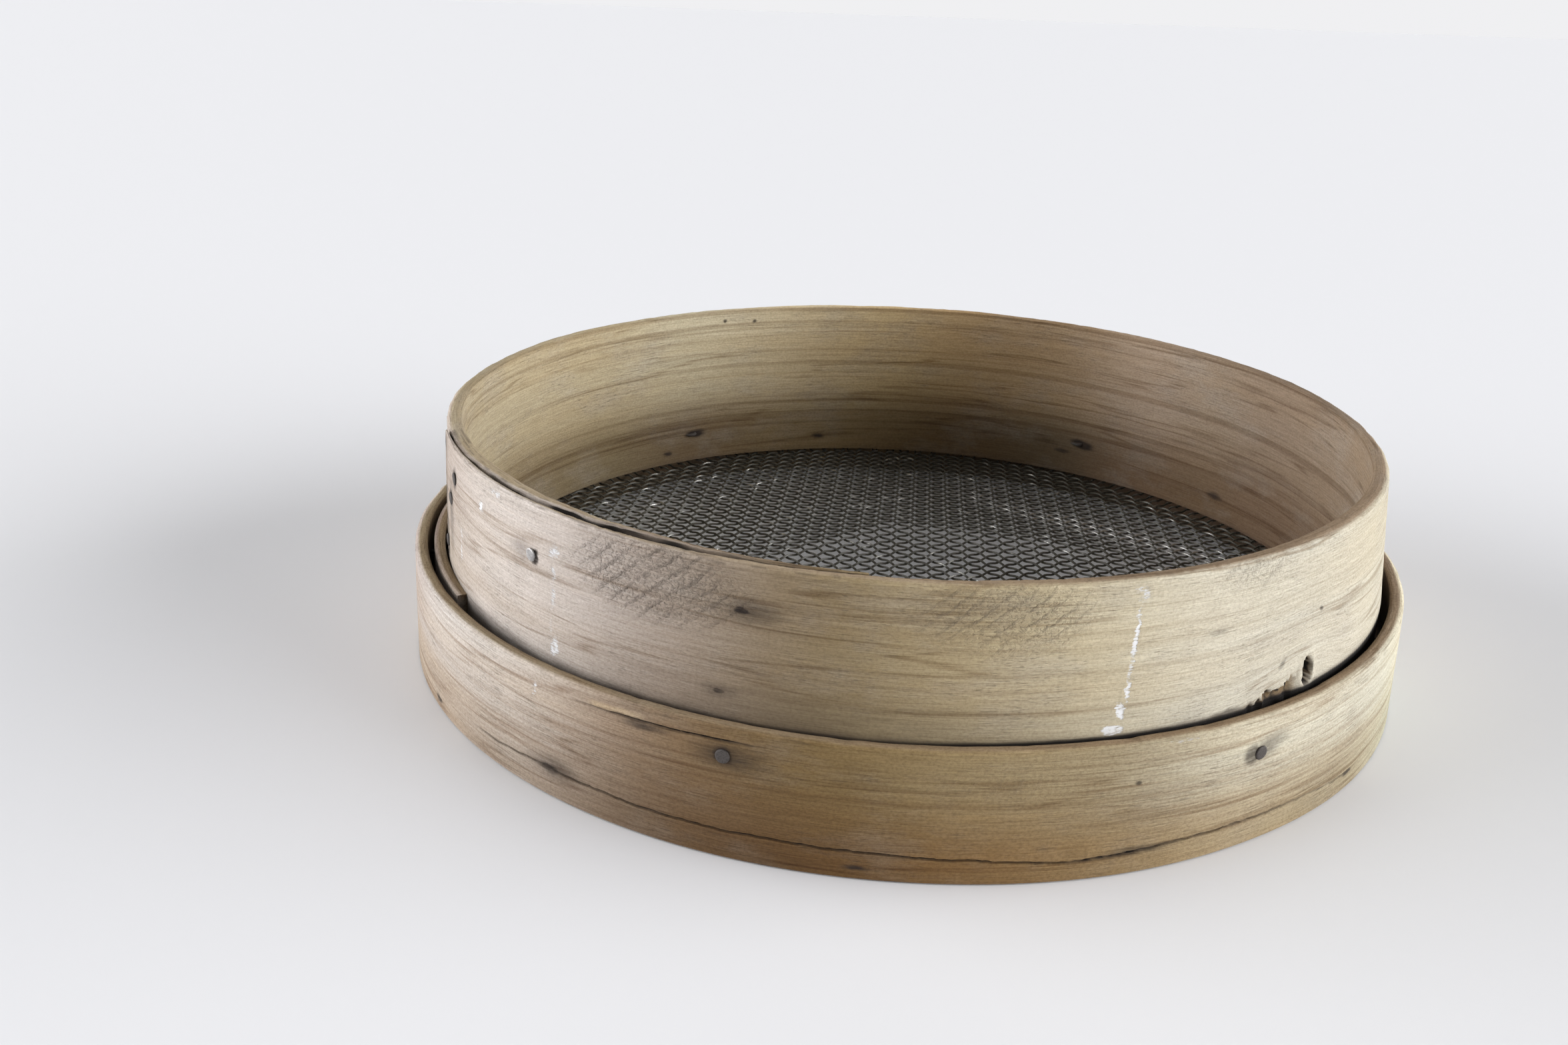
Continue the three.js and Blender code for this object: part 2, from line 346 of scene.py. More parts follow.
def add_object(name, mesh):
    piece = bpy.data.objects.new(name, mesh)
    bpy.context.scene.collection.objects.link(piece)
    return piece


def finish_piece(piece, slot, material, *nodes):
    piece.data.materials.append(material)
    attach(piece, "root")
    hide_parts(*nodes)


# Key colours of the bare wood round each hoop, (azimuth, colour low down, colour high up), in linear light.
# They hold painted shade as well as the wood's own colour: the outside is darker where it faces the camera,
# near azimuth -97, partly from the wood's own tone and partly as painted shade, and the inside is darker
# towards its foot, partly from dirt and partly as painted shade.

UPPER_OUTSIDE_COLOURS = [
    (-152, (0.56, 0.51, 0.45), (0.50, 0.43, 0.38)), (-138, (0.74, 0.68, 0.64), (0.71, 0.65, 0.60)),
    (-126, (0.68, 0.62, 0.56), (0.68, 0.62, 0.58)), (-112, (0.37, 0.29, 0.22), (0.45, 0.38, 0.32)),
    (-97, (0.20, 0.15, 0.08), (0.27, 0.20, 0.105)), (-82, (0.44, 0.36, 0.22), (0.53, 0.44, 0.27)),
    (-70, (0.65, 0.58, 0.42), (0.66, 0.60, 0.44)), (-60, (0.67, 0.63, 0.51), (0.72, 0.69, 0.58)),
    (-48, (0.68, 0.66, 0.57), (0.63, 0.61, 0.52)), (-35, (0.64, 0.61, 0.52), (0.58, 0.55, 0.45)),
    (-25, (0.62, 0.60, 0.50), (0.57, 0.54, 0.43)), (30, (0.56, 0.50, 0.39), (0.58, 0.52, 0.41)),
    (100, (0.54, 0.47, 0.36), (0.57, 0.50, 0.39)), (165, (0.55, 0.48, 0.40), (0.56, 0.49, 0.41)),
]
INSIDE_COLOURS = [
    (-100, (0.28, 0.22, 0.14), (0.44, 0.35, 0.24)), (25, (0.21, 0.14, 0.09), (0.28, 0.21, 0.15)),
    (38, (0.22, 0.15, 0.09), (0.36, 0.28, 0.20)), (50, (0.25, 0.17, 0.11), (0.47, 0.37, 0.28)),
    (65, (0.13, 0.10, 0.06), (0.40, 0.29, 0.17)), (80, (0.18, 0.12, 0.06), (0.48, 0.34, 0.18)),
    (95, (0.31, 0.23, 0.12), (0.66, 0.51, 0.28)), (110, (0.32, 0.24, 0.13), (0.68, 0.57, 0.37)),
    (128, (0.20, 0.14, 0.08), (0.58, 0.52, 0.37)), (145, (0.23, 0.18, 0.10), (0.46, 0.39, 0.25)),
    (180, (0.26, 0.20, 0.12), (0.42, 0.36, 0.24)),
]
LOWER_COLOURS = [
    (-158, (0.50, 0.43, 0.35), (0.55, 0.48, 0.45)), (-145, (0.50, 0.41, 0.32), (0.69, 0.65, 0.61)),
    (-126, (0.43, 0.37, 0.31), (0.69, 0.62, 0.55)), (-112, (0.19, 0.125, 0.07), (0.30, 0.21, 0.13)),
    (-97, (0.145, 0.08, 0.03), (0.22, 0.15, 0.06)), (-82, (0.26, 0.155, 0.06), (0.38, 0.30, 0.165)),
    (-68, (0.32, 0.225, 0.11), (0.42, 0.36, 0.235)), (-55, (0.42, 0.34, 0.21), (0.72, 0.69, 0.56)),
    (-42, (0.35, 0.29, 0.18), (0.61, 0.58, 0.47)), (-30, (0.43, 0.40, 0.29), (0.60, 0.59, 0.49)),
    (-20, (0.50, 0.52, 0.40), (0.70, 0.66, 0.50)), (40, (0.44, 0.36, 0.25), (0.54, 0.46, 0.35)),
    (160, (0.46, 0.38, 0.29), (0.54, 0.46, 0.38)),
]
UPPER_COLOUR_HEIGHTS = (24 * MM, 72 * MM)
INSIDE_COLOUR_HEIGHTS = (27 * MM, 52 * MM)
LOWER_COLOUR_HEIGHTS = (2 * MM, 34 * MM)
TINT_SOFTENING = (-4, 0, 4)
RIM_PALER = 1.12
BARK_COLOUR = (0.26, 0.18, 0.085)
SPLINTER_COLOUR = (0.66, 0.54, 0.38)


def colour_round(azimuth, keys, which):
    """Key colours round the hoop, low (which = 1) or high (which = 2)."""
    channels = []
    for channel in range(3):
        values = [key[which][channel] for key in keys]
        places = [key[0] for key in keys]
        around = [np.interp(azimuth + offset, places, values, period=FULL_TURN) for offset in TINT_SOFTENING]
        channels.append(sum(around) / len(around))
    return np.stack(channels, axis=-1)


def tint_strip(piece, start, turned, loops, outside_keys, heights, patch=0.0, patch_colour=BARK_COLOUR):
    """Colours the bare wood from the key colours, painted shade in them included. patch is the share of the
    patch colour for the rows of the outside.
    """
    azimuth = azimuth_of(start, turned)
    height = np.concatenate([loop[1] for loop in loops], axis=1)
    depth = np.concatenate([loop[2] for loop in loops], axis=1)
    sides = []
    for keys, ends in ((outside_keys, heights), (INSIDE_COLOURS, INSIDE_COLOUR_HEIGHTS)):
        up = smooth(height, *ends)[:, :, None]
        low = colour_round(azimuth, keys, 1)[:, None, :]
        high = colour_round(azimuth, keys, 2)[:, None, :]
        sides.append(low * (1 - up) + high * up)
    share = smooth(-depth, 0.6 * MM, 1.8 * MM)[:, :, None]
    tint = sides[0] * (1 - share) + sides[1] * share
    outside_rows = loops[0][1].shape[1]
    rim_rows = slice(outside_rows, outside_rows + loops[1][1].shape[1])
    tint[:, rim_rows] *= RIM_PALER
    tint[:, :outside_rows] = blend(tint[:, :outside_rows], np.array(patch_colour), np.atleast_3d(patch))
    alpha = np.ones(tint.shape[:2] + (1,))
    colour = np.concatenate([tint, alpha], axis=-1).reshape(-1, 4)
    set_attribute(piece.data, "tint", "FLOAT_COLOR", "color", colour)


# Upper hoop

KNOTHOLE = {"azimuth": -44.8, "height": 45.0 * MM, "along": 2.3 * MM, "across": 3.6 * MM}
TORN_FROM, TORN_TO = -54.5, -46.5
GROOVE_FROM, GROOVE_TO = -149, -97
# Painted shade along the joint with the lower hoop: strength of the dark band, then of the soft haze above it,
# round the hoop.
JOINT_SHADE_KEYS = [(-165, 0.4), (-135, 0.4), (-118, 0.65), (-100, 0.9), (-75, 0.8), (-60, 0.55), (-30, 0.5)]
JOINT_SHADE_HAZE_KEYS = [(-165, 0), (-125, 0.05), (-112, 0.3), (-92, 0.38), (-76, 0.28), (-64, 0.05), (-30, 0)]


def knothole_reach(azimuth, z):
    """Distance from the middle of the knothole, 1 at its ragged edge."""
    arc = np.radians(azimuth) * UPPER_RADIUS
    x = (azimuth - KNOTHOLE["azimuth"]) * math.radians(UPPER_RADIUS) / KNOTHOLE["along"]
    y = (z - KNOTHOLE["height"]) / KNOTHOLE["across"]
    return np.hypot(x - 0.15 * y, y) + 0.2 * surface_noise(arc * 500 + 40, z * 500)


def torn_patch(azimuth, z):
    """Height above the ragged top of the patch of torn bark, and how far inside its ends a place is."""
    arc = np.radians(azimuth) * UPPER_RADIUS
    top = LOWER_TOP + 4.6 * MM * np.clip((azimuth - TORN_FROM) / (TORN_TO - TORN_FROM), 0.12, 1)
    top = top + 1.5 * MM * surface_noise(arc * 350, 3.3) + 0.8 * MM * surface_noise(arc * 900, 8.1)
    ends = smooth(azimuth, TORN_FROM, TORN_FROM + 1.5) * (1 - smooth(azimuth, TORN_TO - 1.5, TORN_TO + 0.5))
    return z - top, ends


def upper_surface_marks(azimuth, z):
    """How far the outside of the upper hoop stands out or in, apart from its overall shape."""
    arc = np.radians(azimuth) * UPPER_RADIUS
    broad = 0.28 * MM * surface_noise(arc * 22, z * 30)
    fibres = 0.05 * MM * surface_noise(arc * 60, z * 700)
    reach = knothole_reach(azimuth, z)
    hole = 3.0 * MM * (1 - smooth(reach, 0.7, 1.1))
    lip = 0.35 * MM * hill(reach, 1.5, 0.9)
    above, ends = torn_patch(azimuth, z)
    torn = ends * (1 - smooth(above, -0.5 * MM, 0.4 * MM))
    chips = 0.9 * MM + 0.6 * MM * surface_noise(arc * 700, z * 300)
    return broad + fibres + lip - hole - torn * chips


def hollow_dirt(azimuth, z):
    """Dirt in the knothole and the torn patch: blackest along their edges."""
    reach = knothole_reach(azimuth, z)
    hole = 0.55 * (1 - smooth(reach, 0.9, 1.1)) + 0.5 * hill(reach, 0.85, 0.4)
    above, ends = torn_patch(azimuth, z)
    flecks = 0.25 * surface_noise(azimuth * 6, z * 900)
    torn = ends * (1 - smooth(above, -0.2 * MM, 0.3 * MM)) * np.clip(4 * flecks - 0.1, 0, 0.9)
    edge = 1.1 * ends * hill(above, -0.4 * MM, 1.2 * MM) * (0.7 + 2 * flecks)
    return np.clip(np.maximum(hole, torn + edge), 0, 1)


def rim_height(azimuth):
    arc = np.radians(azimuth) * UPPER_RADIUS
    tilt = 0.9 * MM * np.sin(np.radians(azimuth)) - 0.5 * MM
    waves = 0.18 * MM * edge_noise(arc * 35, 1.5)
    frays = -0.35 * MM * np.clip(edge_noise(arc * 420, 5.5) - 0.35, 0, 1)
    return UPPER_TOP + tilt + waves + frays


def lap_groove(turned, azimuth, z):
    """The inner layer stands back from the outer one near the rim, which leaves a V-shaped groove."""
    width = 0.6 * MM + 2.2 * MM * hill(azimuth, -116, 17) + 0.5 * MM * hill(azimuth, -136, 12)
    width = width * smooth(azimuth, GROOVE_FROM, GROOVE_FROM + 6) * (1 - smooth(azimuth, -106, GROOVE_TO))
    near_rim = smooth(z, UPPER_TOP - 14 * MM, UPPER_TOP)
    ragged = 1 + 0.3 * fray_noise(azimuth * 0.23, 2.2) + 0.22 * fray_noise(azimuth * 0.9, 6.2)
    width = np.minimum(width * ragged, 0.9 * upper_thickness(turned))
    return np.where(turned < UPPER_LAP, width * near_rim, 0)


def build_upper_hoop(material):
    turned = strip_columns(UPPER_START, UPPER_LAP)
    azimuth = azimuth_of(UPPER_START, turned)
    outer = turned >= UPPER_LAP
    top = rim_height(azimuth)
    wear_out = np.where(outer, 1.9 * MM, 0.5 * MM) * (1 + 0.3 * edge_noise(azimuth * 0.5, 9.1))
    wear_out = np.minimum(wear_out, 0.5 * upper_thickness(turned))
    wear_in = np.full_like(wear_out, 0.5 * MM)
    bottom = np.full_like(top, UPPER_BOTTOM + 0.4 * MM)
    hidden = between(bottom, bottom * 0 + 35 * MM, 5)
    seen = between(bottom * 0 + 35 * MM, top - wear_out, 52)
    z_out = np.concatenate([bottom[:, None], hidden, seen], axis=1)
    z_in = np.concatenate([bottom[:, None], between(bottom, top - wear_in, 30)], axis=1)[:, ::-1]
    column, column_azimuth = turned[:, None], azimuth[:, None]
    r_out = upper_outside(column) + upper_flare(column_azimuth, z_out)
    r_out = r_out - lap_groove(column, column_azimuth, z_out)
    marks = upper_surface_marks(column_azimuth, z_out)
    r_out = r_out + np.where(outer[:, None], marks, 0)
    thickness = upper_thickness(column)
    arc = np.radians(column) * UPPER_RADIUS
    r_in = upper_outside(column) - thickness + upper_flare(column_azimuth, z_in)
    r_in = r_in + 0.22 * MM * surface_noise(arc * 18 + 90, z_in * 60)
    r_in = r_in - 0.5 * lap_groove(column, column_azimuth, z_in)
    fibre = 0.12 * MM * fray_noise(turned[:, None] * 0.35, RIM_STEPS[None, :] * 9)
    fibre = fibre + 0.08 * MM * fray_noise(turned[:, None] * 4, RIM_STEPS[None, :] * 5 + 50)
    small = np.full_like(bottom, 0.4 * MM)
    loops = strip_loops((r_out, z_out), (r_in, z_in), (wear_out, wear_in), small, 0.55, fibre, thickness)
    piece = strip_object("upper_bentwood_hoop", UPPER_START, turned, loops)
    above, ends = torn_patch(column_azimuth, z_out)
    bark = np.maximum(ends * (above < 0), knothole_reach(column_azimuth, z_out) < 1)
    tint_strip(piece, UPPER_START, turned, loops, UPPER_OUTSIDE_COLOURS, UPPER_COLOUR_HEIGHTS, bark)
    # The attribute set here holds real dirt and the painted shade at the joint with the lower hoop.
    dirt_and_shade = upper_dirt_and_shade(turned, azimuth, loops)
    set_attribute(piece.data, "dirt_and_shade", "FLOAT", "value", dirt_and_shade)
    finish_piece(piece, "upper_wood", material, "upper_hoop")


def upper_dirt_and_shade(turned, azimuth, loops):
    """Painted shade where the wood goes into the lower hoop, as a dark band, a soft haze above it and a black
    line at the joint; dirt in the knothole, in the torn patch, at the strip's end and in the groove.
    """
    z_out = loops[0][1]
    column, column_azimuth = turned[:, None], azimuth[:, None]
    # Painted shade: a dark band and a soft haze just above the lower hoop's top edge, where the upper hoop goes
    # into it.
    band = round_hoop(column_azimuth, JOINT_SHADE_KEYS)
    height = 3.6 * MM * (1 + 0.35 * surface_noise(np.radians(column_azimuth) * 12, 4.4))
    line = band * (1 - smooth(z_out, LOWER_TOP - 1.5 * MM, LOWER_TOP + height)) ** 2
    haze = round_hoop(column_azimuth, JOINT_SHADE_HAZE_KEYS) * (1 - smooth(z_out, LOWER_TOP, LOWER_TOP + 20 * MM)) ** 1.5
    # Painted shadow: a black line where the two hoops meet.
    joint_shade_line = 1 - smooth(z_out, LOWER_TOP - 0.3 * MM, LOWER_TOP + 0.9 * MM)
    joint_shade_line = joint_shade_line * (0.55 + 0.45 * smooth(column_azimuth, -100, -75))
    line = np.maximum(np.maximum(line, haze), joint_shade_line)
    hollow = hollow_dirt(column_azimuth, z_out)
    before_end = FULL_TURN + UPPER_LAP - column
    end_grime = (1 - smooth(before_end, 0.3, 3.5)) * (0.55 + 0.4 * fray_noise(column * 0.8, z_out * 300 + 30))
    line = np.maximum(line, end_grime)
    near_rim = smooth(z_out, UPPER_TOP - 4 * MM, UPPER_TOP - 1 * MM)
    tucked_in = 0.85 - 0.3 * near_rim + (0.2 + 0.25 * near_rim) * fray_noise(column * 0.4, z_out * 500)
    outside = np.where(column >= UPPER_LAP, np.maximum(line, hollow), np.clip(tucked_in, 0, 1))
    groove = lap_groove(column, column_azimuth, UPPER_TOP)
    rim = smooth(groove, 0.2 * MM, 0.9 * MM) * (1 - smooth(RIM_STEPS[None, :], 0.0, 0.2))
    fibres = fray_noise(column * 0.5, RIM_STEPS[None, :] * 14 + 70)
    rim = np.maximum(rim, 0.5 * smooth(fibres, 0.1, 0.6) * (column_azimuth < -95) * (column_azimuth > -160))
    z_in = loops[2][1]
    inside = 0.35 * (1 - smooth(z_in, UPPER_BOTTOM, UPPER_BOTTOM + 3 * MM))
    low = np.full_like(loops[3][0], 0.5)
    return np.concatenate([outside, rim, inside, low], axis=1).ravel()


# Lower hoop

def lower_surface_waves(azimuth, z):
    return 0.3 * MM * surface_noise(np.radians(azimuth) * LOWER_RADIUS * 18 + 7, z * 40)


def pale_splinter(azimuth, z, crack_z):
    """Share of fresh, pale wood where a splinter has come off above the top crack."""
    along = hill(azimuth, SPLINTER_AZIMUTH, SPLINTER_REACH)
    ragged = 0.35 * MM * fray_noise(azimuth * 1.3, 11.5)
    above = z - crack_z + ragged
    up = smooth(above, 0.2 * MM, 0.6 * MM) * (1 - smooth(above, 1.6 * MM, 2.4 * MM))
    return 0.8 * smooth(along, 0.1, 0.5) * up


def build_lower_hoop(material):
    turned = strip_columns(LOWER_START, LOWER_LAP)
    azimuth = azimuth_of(LOWER_START, turned)
    arc = np.radians(azimuth) * LOWER_RADIUS
    top = LOWER_TOP + 0.35 * MM * edge_noise(arc * 14, 21.5) - 0.2 * MM
    chips = 0.7 * MM * np.clip(edge_noise(arc * 160, 30.5) - 0.3, 0, 1)
    top = top - np.where(turned > LOWER_LAP, chips, 0.6 * MM)
    outer = turned > LOWER_LAP
    wear_out = np.where(outer, 1.0 * MM, 0.2 * MM) * (1 + 0.4 * edge_noise(azimuth * 0.4, 25.1))
    wear_in = np.where(outer, 0.6 * MM, 0.2 * MM)
    bottom = np.full_like(top, 0.5 * MM)
    long_z = crack_height(azimuth, LONG_CRACK, 0.5, LONG_CRACK_WANDER)
    top_z = crack_height(azimuth, TOP_CRACK, 3.5, TOP_CRACK_WANDER)
    reach = CRACK_ROWS[-1]
    row_shares = np.arange(len(CRACK_ROWS)) / len(CRACK_ROWS)
    lowest_rows = bottom[:, None] + 0.2 * MM * (1 + row_shares[None, :])
    z_out = np.concatenate([
        bottom[:, None],
        between(bottom, np.maximum(long_z - reach, bottom + 0.2 * MM), 3)[:, :-1],
        np.maximum(long_z[:, None] + CRACK_ROWS[None, :], lowest_rows),
        between(long_z + reach, top_z - reach, 22)[:, :-1],
        top_z[:, None] + CRACK_ROWS[None, :],
        between(top_z + reach, top - wear_out, 5),
    ], axis=1)
    z_in = np.concatenate([bottom[:, None], between(bottom, top - wear_in, 24)], axis=1)[:, ::-1]
    column, column_azimuth = turned[:, None], azimuth[:, None]
    long_open = crack_opening(azimuth, turned, LOWER_LAP, LONG_CRACK_OPEN)[:, None]
    top_open = crack_opening(azimuth, turned, LOWER_LAP, TOP_CRACK_OPEN)[:, None]
    long_shape = crack_shape(z_out, long_z, long_open)
    top_shape = crack_shape(z_out, top_z, top_open)
    cracks = np.minimum(long_shape + top_shape, 1.2)
    above_step = 0.5 * MM * long_open * smooth(z_out, long_z[:, None], long_z[:, None] + 0.3 * MM)
    above_step = above_step * (1 - smooth(z_out, long_z[:, None] + 0.5 * MM, long_z[:, None] + 7 * MM))
    r_out = lower_outside(column) + lower_lean(column_azimuth, z_out)
    waves = lower_surface_waves(column_azimuth, z_out)
    r_out = r_out + np.where(column > LOWER_LAP, waves + above_step - CRACK_DEPTH * cracks, 0)
    thickness = lower_thickness(column)
    r_in = lower_outside(column) - thickness + lower_lean(column_azimuth, z_in)
    fibre = 0.1 * MM * fray_noise(turned[:, None] * 0.6, RIM_STEPS[None, :] * 8 + 20)
    loops = strip_loops((r_out, z_out), (r_in, z_in), (wear_out, wear_in), bottom, 0.45, fibre, thickness)
    piece = strip_object("lower_bentwood_hoop", LOWER_START, turned, loops)
    splinter = pale_splinter(column_azimuth, z_out, top_z[:, None])
    tint_strip(
        piece, LOWER_START, turned, loops, LOWER_COLOURS, LOWER_COLOUR_HEIGHTS, splinter, SPLINTER_COLOUR)
    outside = np.where(column > LOWER_LAP, np.clip(cracks * 1.8, 0, 1), 0.4)
    dirt_and_shade = [outside, loops[1][0] * 0, r_in * 0 + 0.45, loops[3][0] * 0 + 0.5]
    dirt_and_shade = np.concatenate(dirt_and_shade, axis=1).ravel()
    set_attribute(piece.data, "dirt_and_shade", "FLOAT", "value", dirt_and_shade)
    finish_piece(piece, "lower_wood", material, "lower_hoop")


# Wire cloth: plain weave, domed up in the middle

WIRE_SIDES = 6
STEPS_PER_PITCH = 4
CLOTH_TURN = math.radians(45)
cloth_noise = SmoothNoise(15)


def ridge_line(x):
    """Where the cloth is bent up in a low ridge: along the wires on the left, then nearly straight."""
    left = 55 * MM + x
    right = 50 * MM - 0.12 * x
    return np.where(x < 0, np.minimum(left, right), right)


def cloth_height(x, y):
    from_axis = np.hypot(x, y) / CLOTH_RADIUS
    waves = 0.7 * MM * cloth_noise(x * 18 + 3, y * 18) * (1 - from_axis ** 4)
    beside = np.abs(y - ridge_line(x)) / RIDGE_REACH
    crest = RIDGE_HEIGHT * np.exp(-1.6 * np.sqrt(beside ** 2 + 0.004))
    crest = crest * (1 - smooth(np.abs(x), 40 * MM, 125 * MM))
    crest = crest * (1 - smooth(from_axis, 0.75, 1))
    return CLOTH_EDGE_HEIGHT + CLOTH_DOME * (1 - from_axis ** 2) + waves + crest


def wire_path(family, number):
    """Points along one wire, over and under the wires that cross it."""
    offset = number * WIRE_PITCH
    half = math.sqrt(CLOTH_RADIUS ** 2 - offset ** 2)
    count = int(half / WIRE_PITCH * STEPS_PER_PITCH)
    along = np.arange(-count, count + 1) * WIRE_PITCH / STEPS_PER_PITCH
    drift = 0.35 * MM * cloth_noise(along * 9 + number * 0.37, np.full_like(along, 40.5 + 20 * family))
    if family == 0:
        flat_x, flat_y = along, offset + drift
    else:
        flat_x, flat_y = offset + drift, along
    x = flat_x * math.cos(CLOTH_TURN) - flat_y * math.sin(CLOTH_TURN)
    y = flat_x * math.sin(CLOTH_TURN) + flat_y * math.cos(CLOTH_TURN)
    crimp = WIRE_SIZE / 2 * np.cos(math.pi * (along / WIRE_PITCH + number + family))
    return np.stack([x, y, cloth_height(x, y) + crimp], axis=-1)


def tube_rings(path, radii, sides):
    """Rings of points round a path that never runs straight up."""
    tangent = np.gradient(path, axis=0)
    tangent /= np.linalg.norm(tangent, axis=1, keepdims=True)
    side = np.cross(tangent, np.array([0.0, 0.0, 1.0]))
    side /= np.linalg.norm(side, axis=1, keepdims=True)
    up = np.cross(side, tangent)
    angle = 2 * math.pi * np.arange(sides) / sides
    offsets = side[:, None, :] * np.cos(angle)[None, :, None] + up[:, None, :] * np.sin(angle)[None, :, None]
    return path[:, None, :] + offsets * np.asarray(radii)[:, None, None]


def tube_faces(rings, sides, base):
    index = base + np.arange(rings * sides).reshape(rings, sides)
    here, after = index[:-1], index[1:]
    quads = np.stack([here, np.roll(here, -1, 1), np.roll(after, -1, 1), after], axis=-1).reshape(-1, 4)
    return quads.tolist() + [index[0, ::-1].tolist(), index[-1].tolist()]


def mesh_from_tubes(name, tubes, shines, sides):
    points, faces, base = [], [], 0
    for rings in tubes:
        points.append(rings.reshape(-1, 3))
        faces += tube_faces(len(rings), sides, base)
        base += rings.shape[0] * sides
    mesh = new_mesh(name, np.concatenate(points), faces, 70)
    set_attribute(mesh, "shine", "FLOAT", "value", np.repeat(np.concatenate(shines), sides))
    return add_object(name, mesh)


# Painted highlight: a bright band of wire across the right of the cloth.
PAINTED_HIGHLIGHT_BAND_START = (44 * MM, 86 * MM)
PAINTED_HIGHLIGHT_BAND_SLOPE = 0.48


def wire_polish_and_painted_light(path):
    """Lighter where a wire comes up over another one, from polish and painted highlight, and darker where it
    dips under, from dirt and painted shade. Random painted glints and a painted highlight band on the right of
    the cloth add to it.
    """
    x, y = path[:, 0], path[:, 1]
    above = path[:, 2] - cloth_height(x, y)
    # Painted glints: random bright spots on the wires.
    painted_glints = smooth(cloth_noise(x * 150, y * 150), 0.55, 0.8)
    polish_and_glints = 0.16 + 0.22 * cloth_noise(x * 25 + 60, y * 25) + 0.9 * painted_glints
    from_band = (y - PAINTED_HIGHLIGHT_BAND_START[1]) + PAINTED_HIGHLIGHT_BAND_SLOPE * (x - PAINTED_HIGHLIGHT_BAND_START[0])
    band = np.exp(-((from_band / (9 * MM)) ** 2)) * smooth(x, 20 * MM, 60 * MM)
    return smooth(above, -0.1 * WIRE_SIZE, 0.5 * WIRE_SIZE) * np.clip(polish_and_glints + 0.9 * band, 0, 1)


def build_cloth(material):
    for family, name, node in ((0, "warp_wire_cloth", "warp_wires"), (1, "weft_wire_cloth", "weft_wires")):
        tubes, shines = [], []
        for number in range(-WIRES_EACH_SIDE, WIRES_EACH_SIDE + 1):
            path = wire_path(family, number)
            tubes.append(tube_rings(path, np.full(len(path), WIRE_SIZE / 2), WIRE_SIDES))
            shines.append(wire_polish_and_painted_light(path))
        piece = mesh_from_tubes(name, tubes, shines, WIRE_SIDES)
        finish_piece(piece, "wire", material, node)


def build_cloth_edge(material):
    """The ends of the wires, bent up between the hoops."""
    tubes = []
    for family in (0, 1):
        for number in range(-WIRES_EACH_SIDE, WIRES_EACH_SIDE + 1):
            path = wire_path(family, number)
            tubes += [turned_up_end(path[0]), turned_up_end(path[-1])]
    shines = [np.full(len(rings), 0.1) for rings in tubes]
    piece = mesh_from_tubes("turned_up_wire_ends", tubes, shines, WIRE_SIDES)
    finish_piece(piece, "wire", material, "cloth_edge")


def turned_up_end(last):
    azimuth = math.degrees(math.atan2(last[1], last[0]))
    flare = float(upper_flare(azimuth, LOWER_TOP))
    out = Vector((math.cos(math.radians(azimuth)), math.sin(math.radians(azimuth)), 0))
    start_radius = math.hypot(last[0], last[1])
    wall = UPPER_RADIUS + flare + 0.9 * MM
    low = CLOTH_EDGE_HEIGHT
    profile = [
        (start_radius, low), (blend(start_radius, wall, 0.6), low), (wall - 0.5 * MM, low + 0.3 * MM),
        (wall, low + 1.0 * MM), (wall + 0.05 * MM, low + 4 * MM), (wall + 0.1 * MM, edge_high.z),
    ]
    path = np.array([(out.x * radius, out.y * radius, float(z)) for radius, z in profile])
    tangential = np.array([-out.y, out.x, 0.0])
    tangent = np.gradient(path, axis=0)
    tangent /= np.linalg.norm(tangent, axis=1, keepdims=True)
    across = np.cross(tangent, tangential)
    angle = 2 * math.pi * np.arange(WIRE_SIDES) / WIRE_SIDES
    spread = tangential[None, None, :] * np.cos(angle)[None, :, None]
    spread = spread + across[:, None, :] * np.sin(angle)[None, :, None]
    return path[:, None, :] + spread * WIRE_SIZE / 2


# Nails

HEAD_SIDES = 28
nail_random = np.random.default_rng(16)


def head_place(node):
    """Azimuth, height and radius of a CAD nail's face, and the radius its point reaches in to."""
    points = np.array([vertex.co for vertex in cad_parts[node].data.vertices])
    reach = np.hypot(points[:, 0], points[:, 1])
    face = points[reach > reach.max() - 0.35 * MM]
    middle = (face.max(axis=0) + face.min(axis=0)) / 2
    return math.atan2(middle[1], middle[0]), middle[2], math.hypot(middle[0], middle[1]), reach.min()


def head_rings(radius, dome):
    """Outline of a hammered flat head, as (distance from the nail's axis, height of the face)."""
    return [
        (0.42 * radius, -0.75 * MM), (0.93 * radius, -0.7 * MM), (1.0 * radius, -0.5 * MM),
        (0.99 * radius, -0.22 * MM), (0.9 * radius, -0.06 * MM), (0.72 * radius, dome * 0.6),
        (0.45 * radius, dome), (0.2 * radius, dome),
    ]


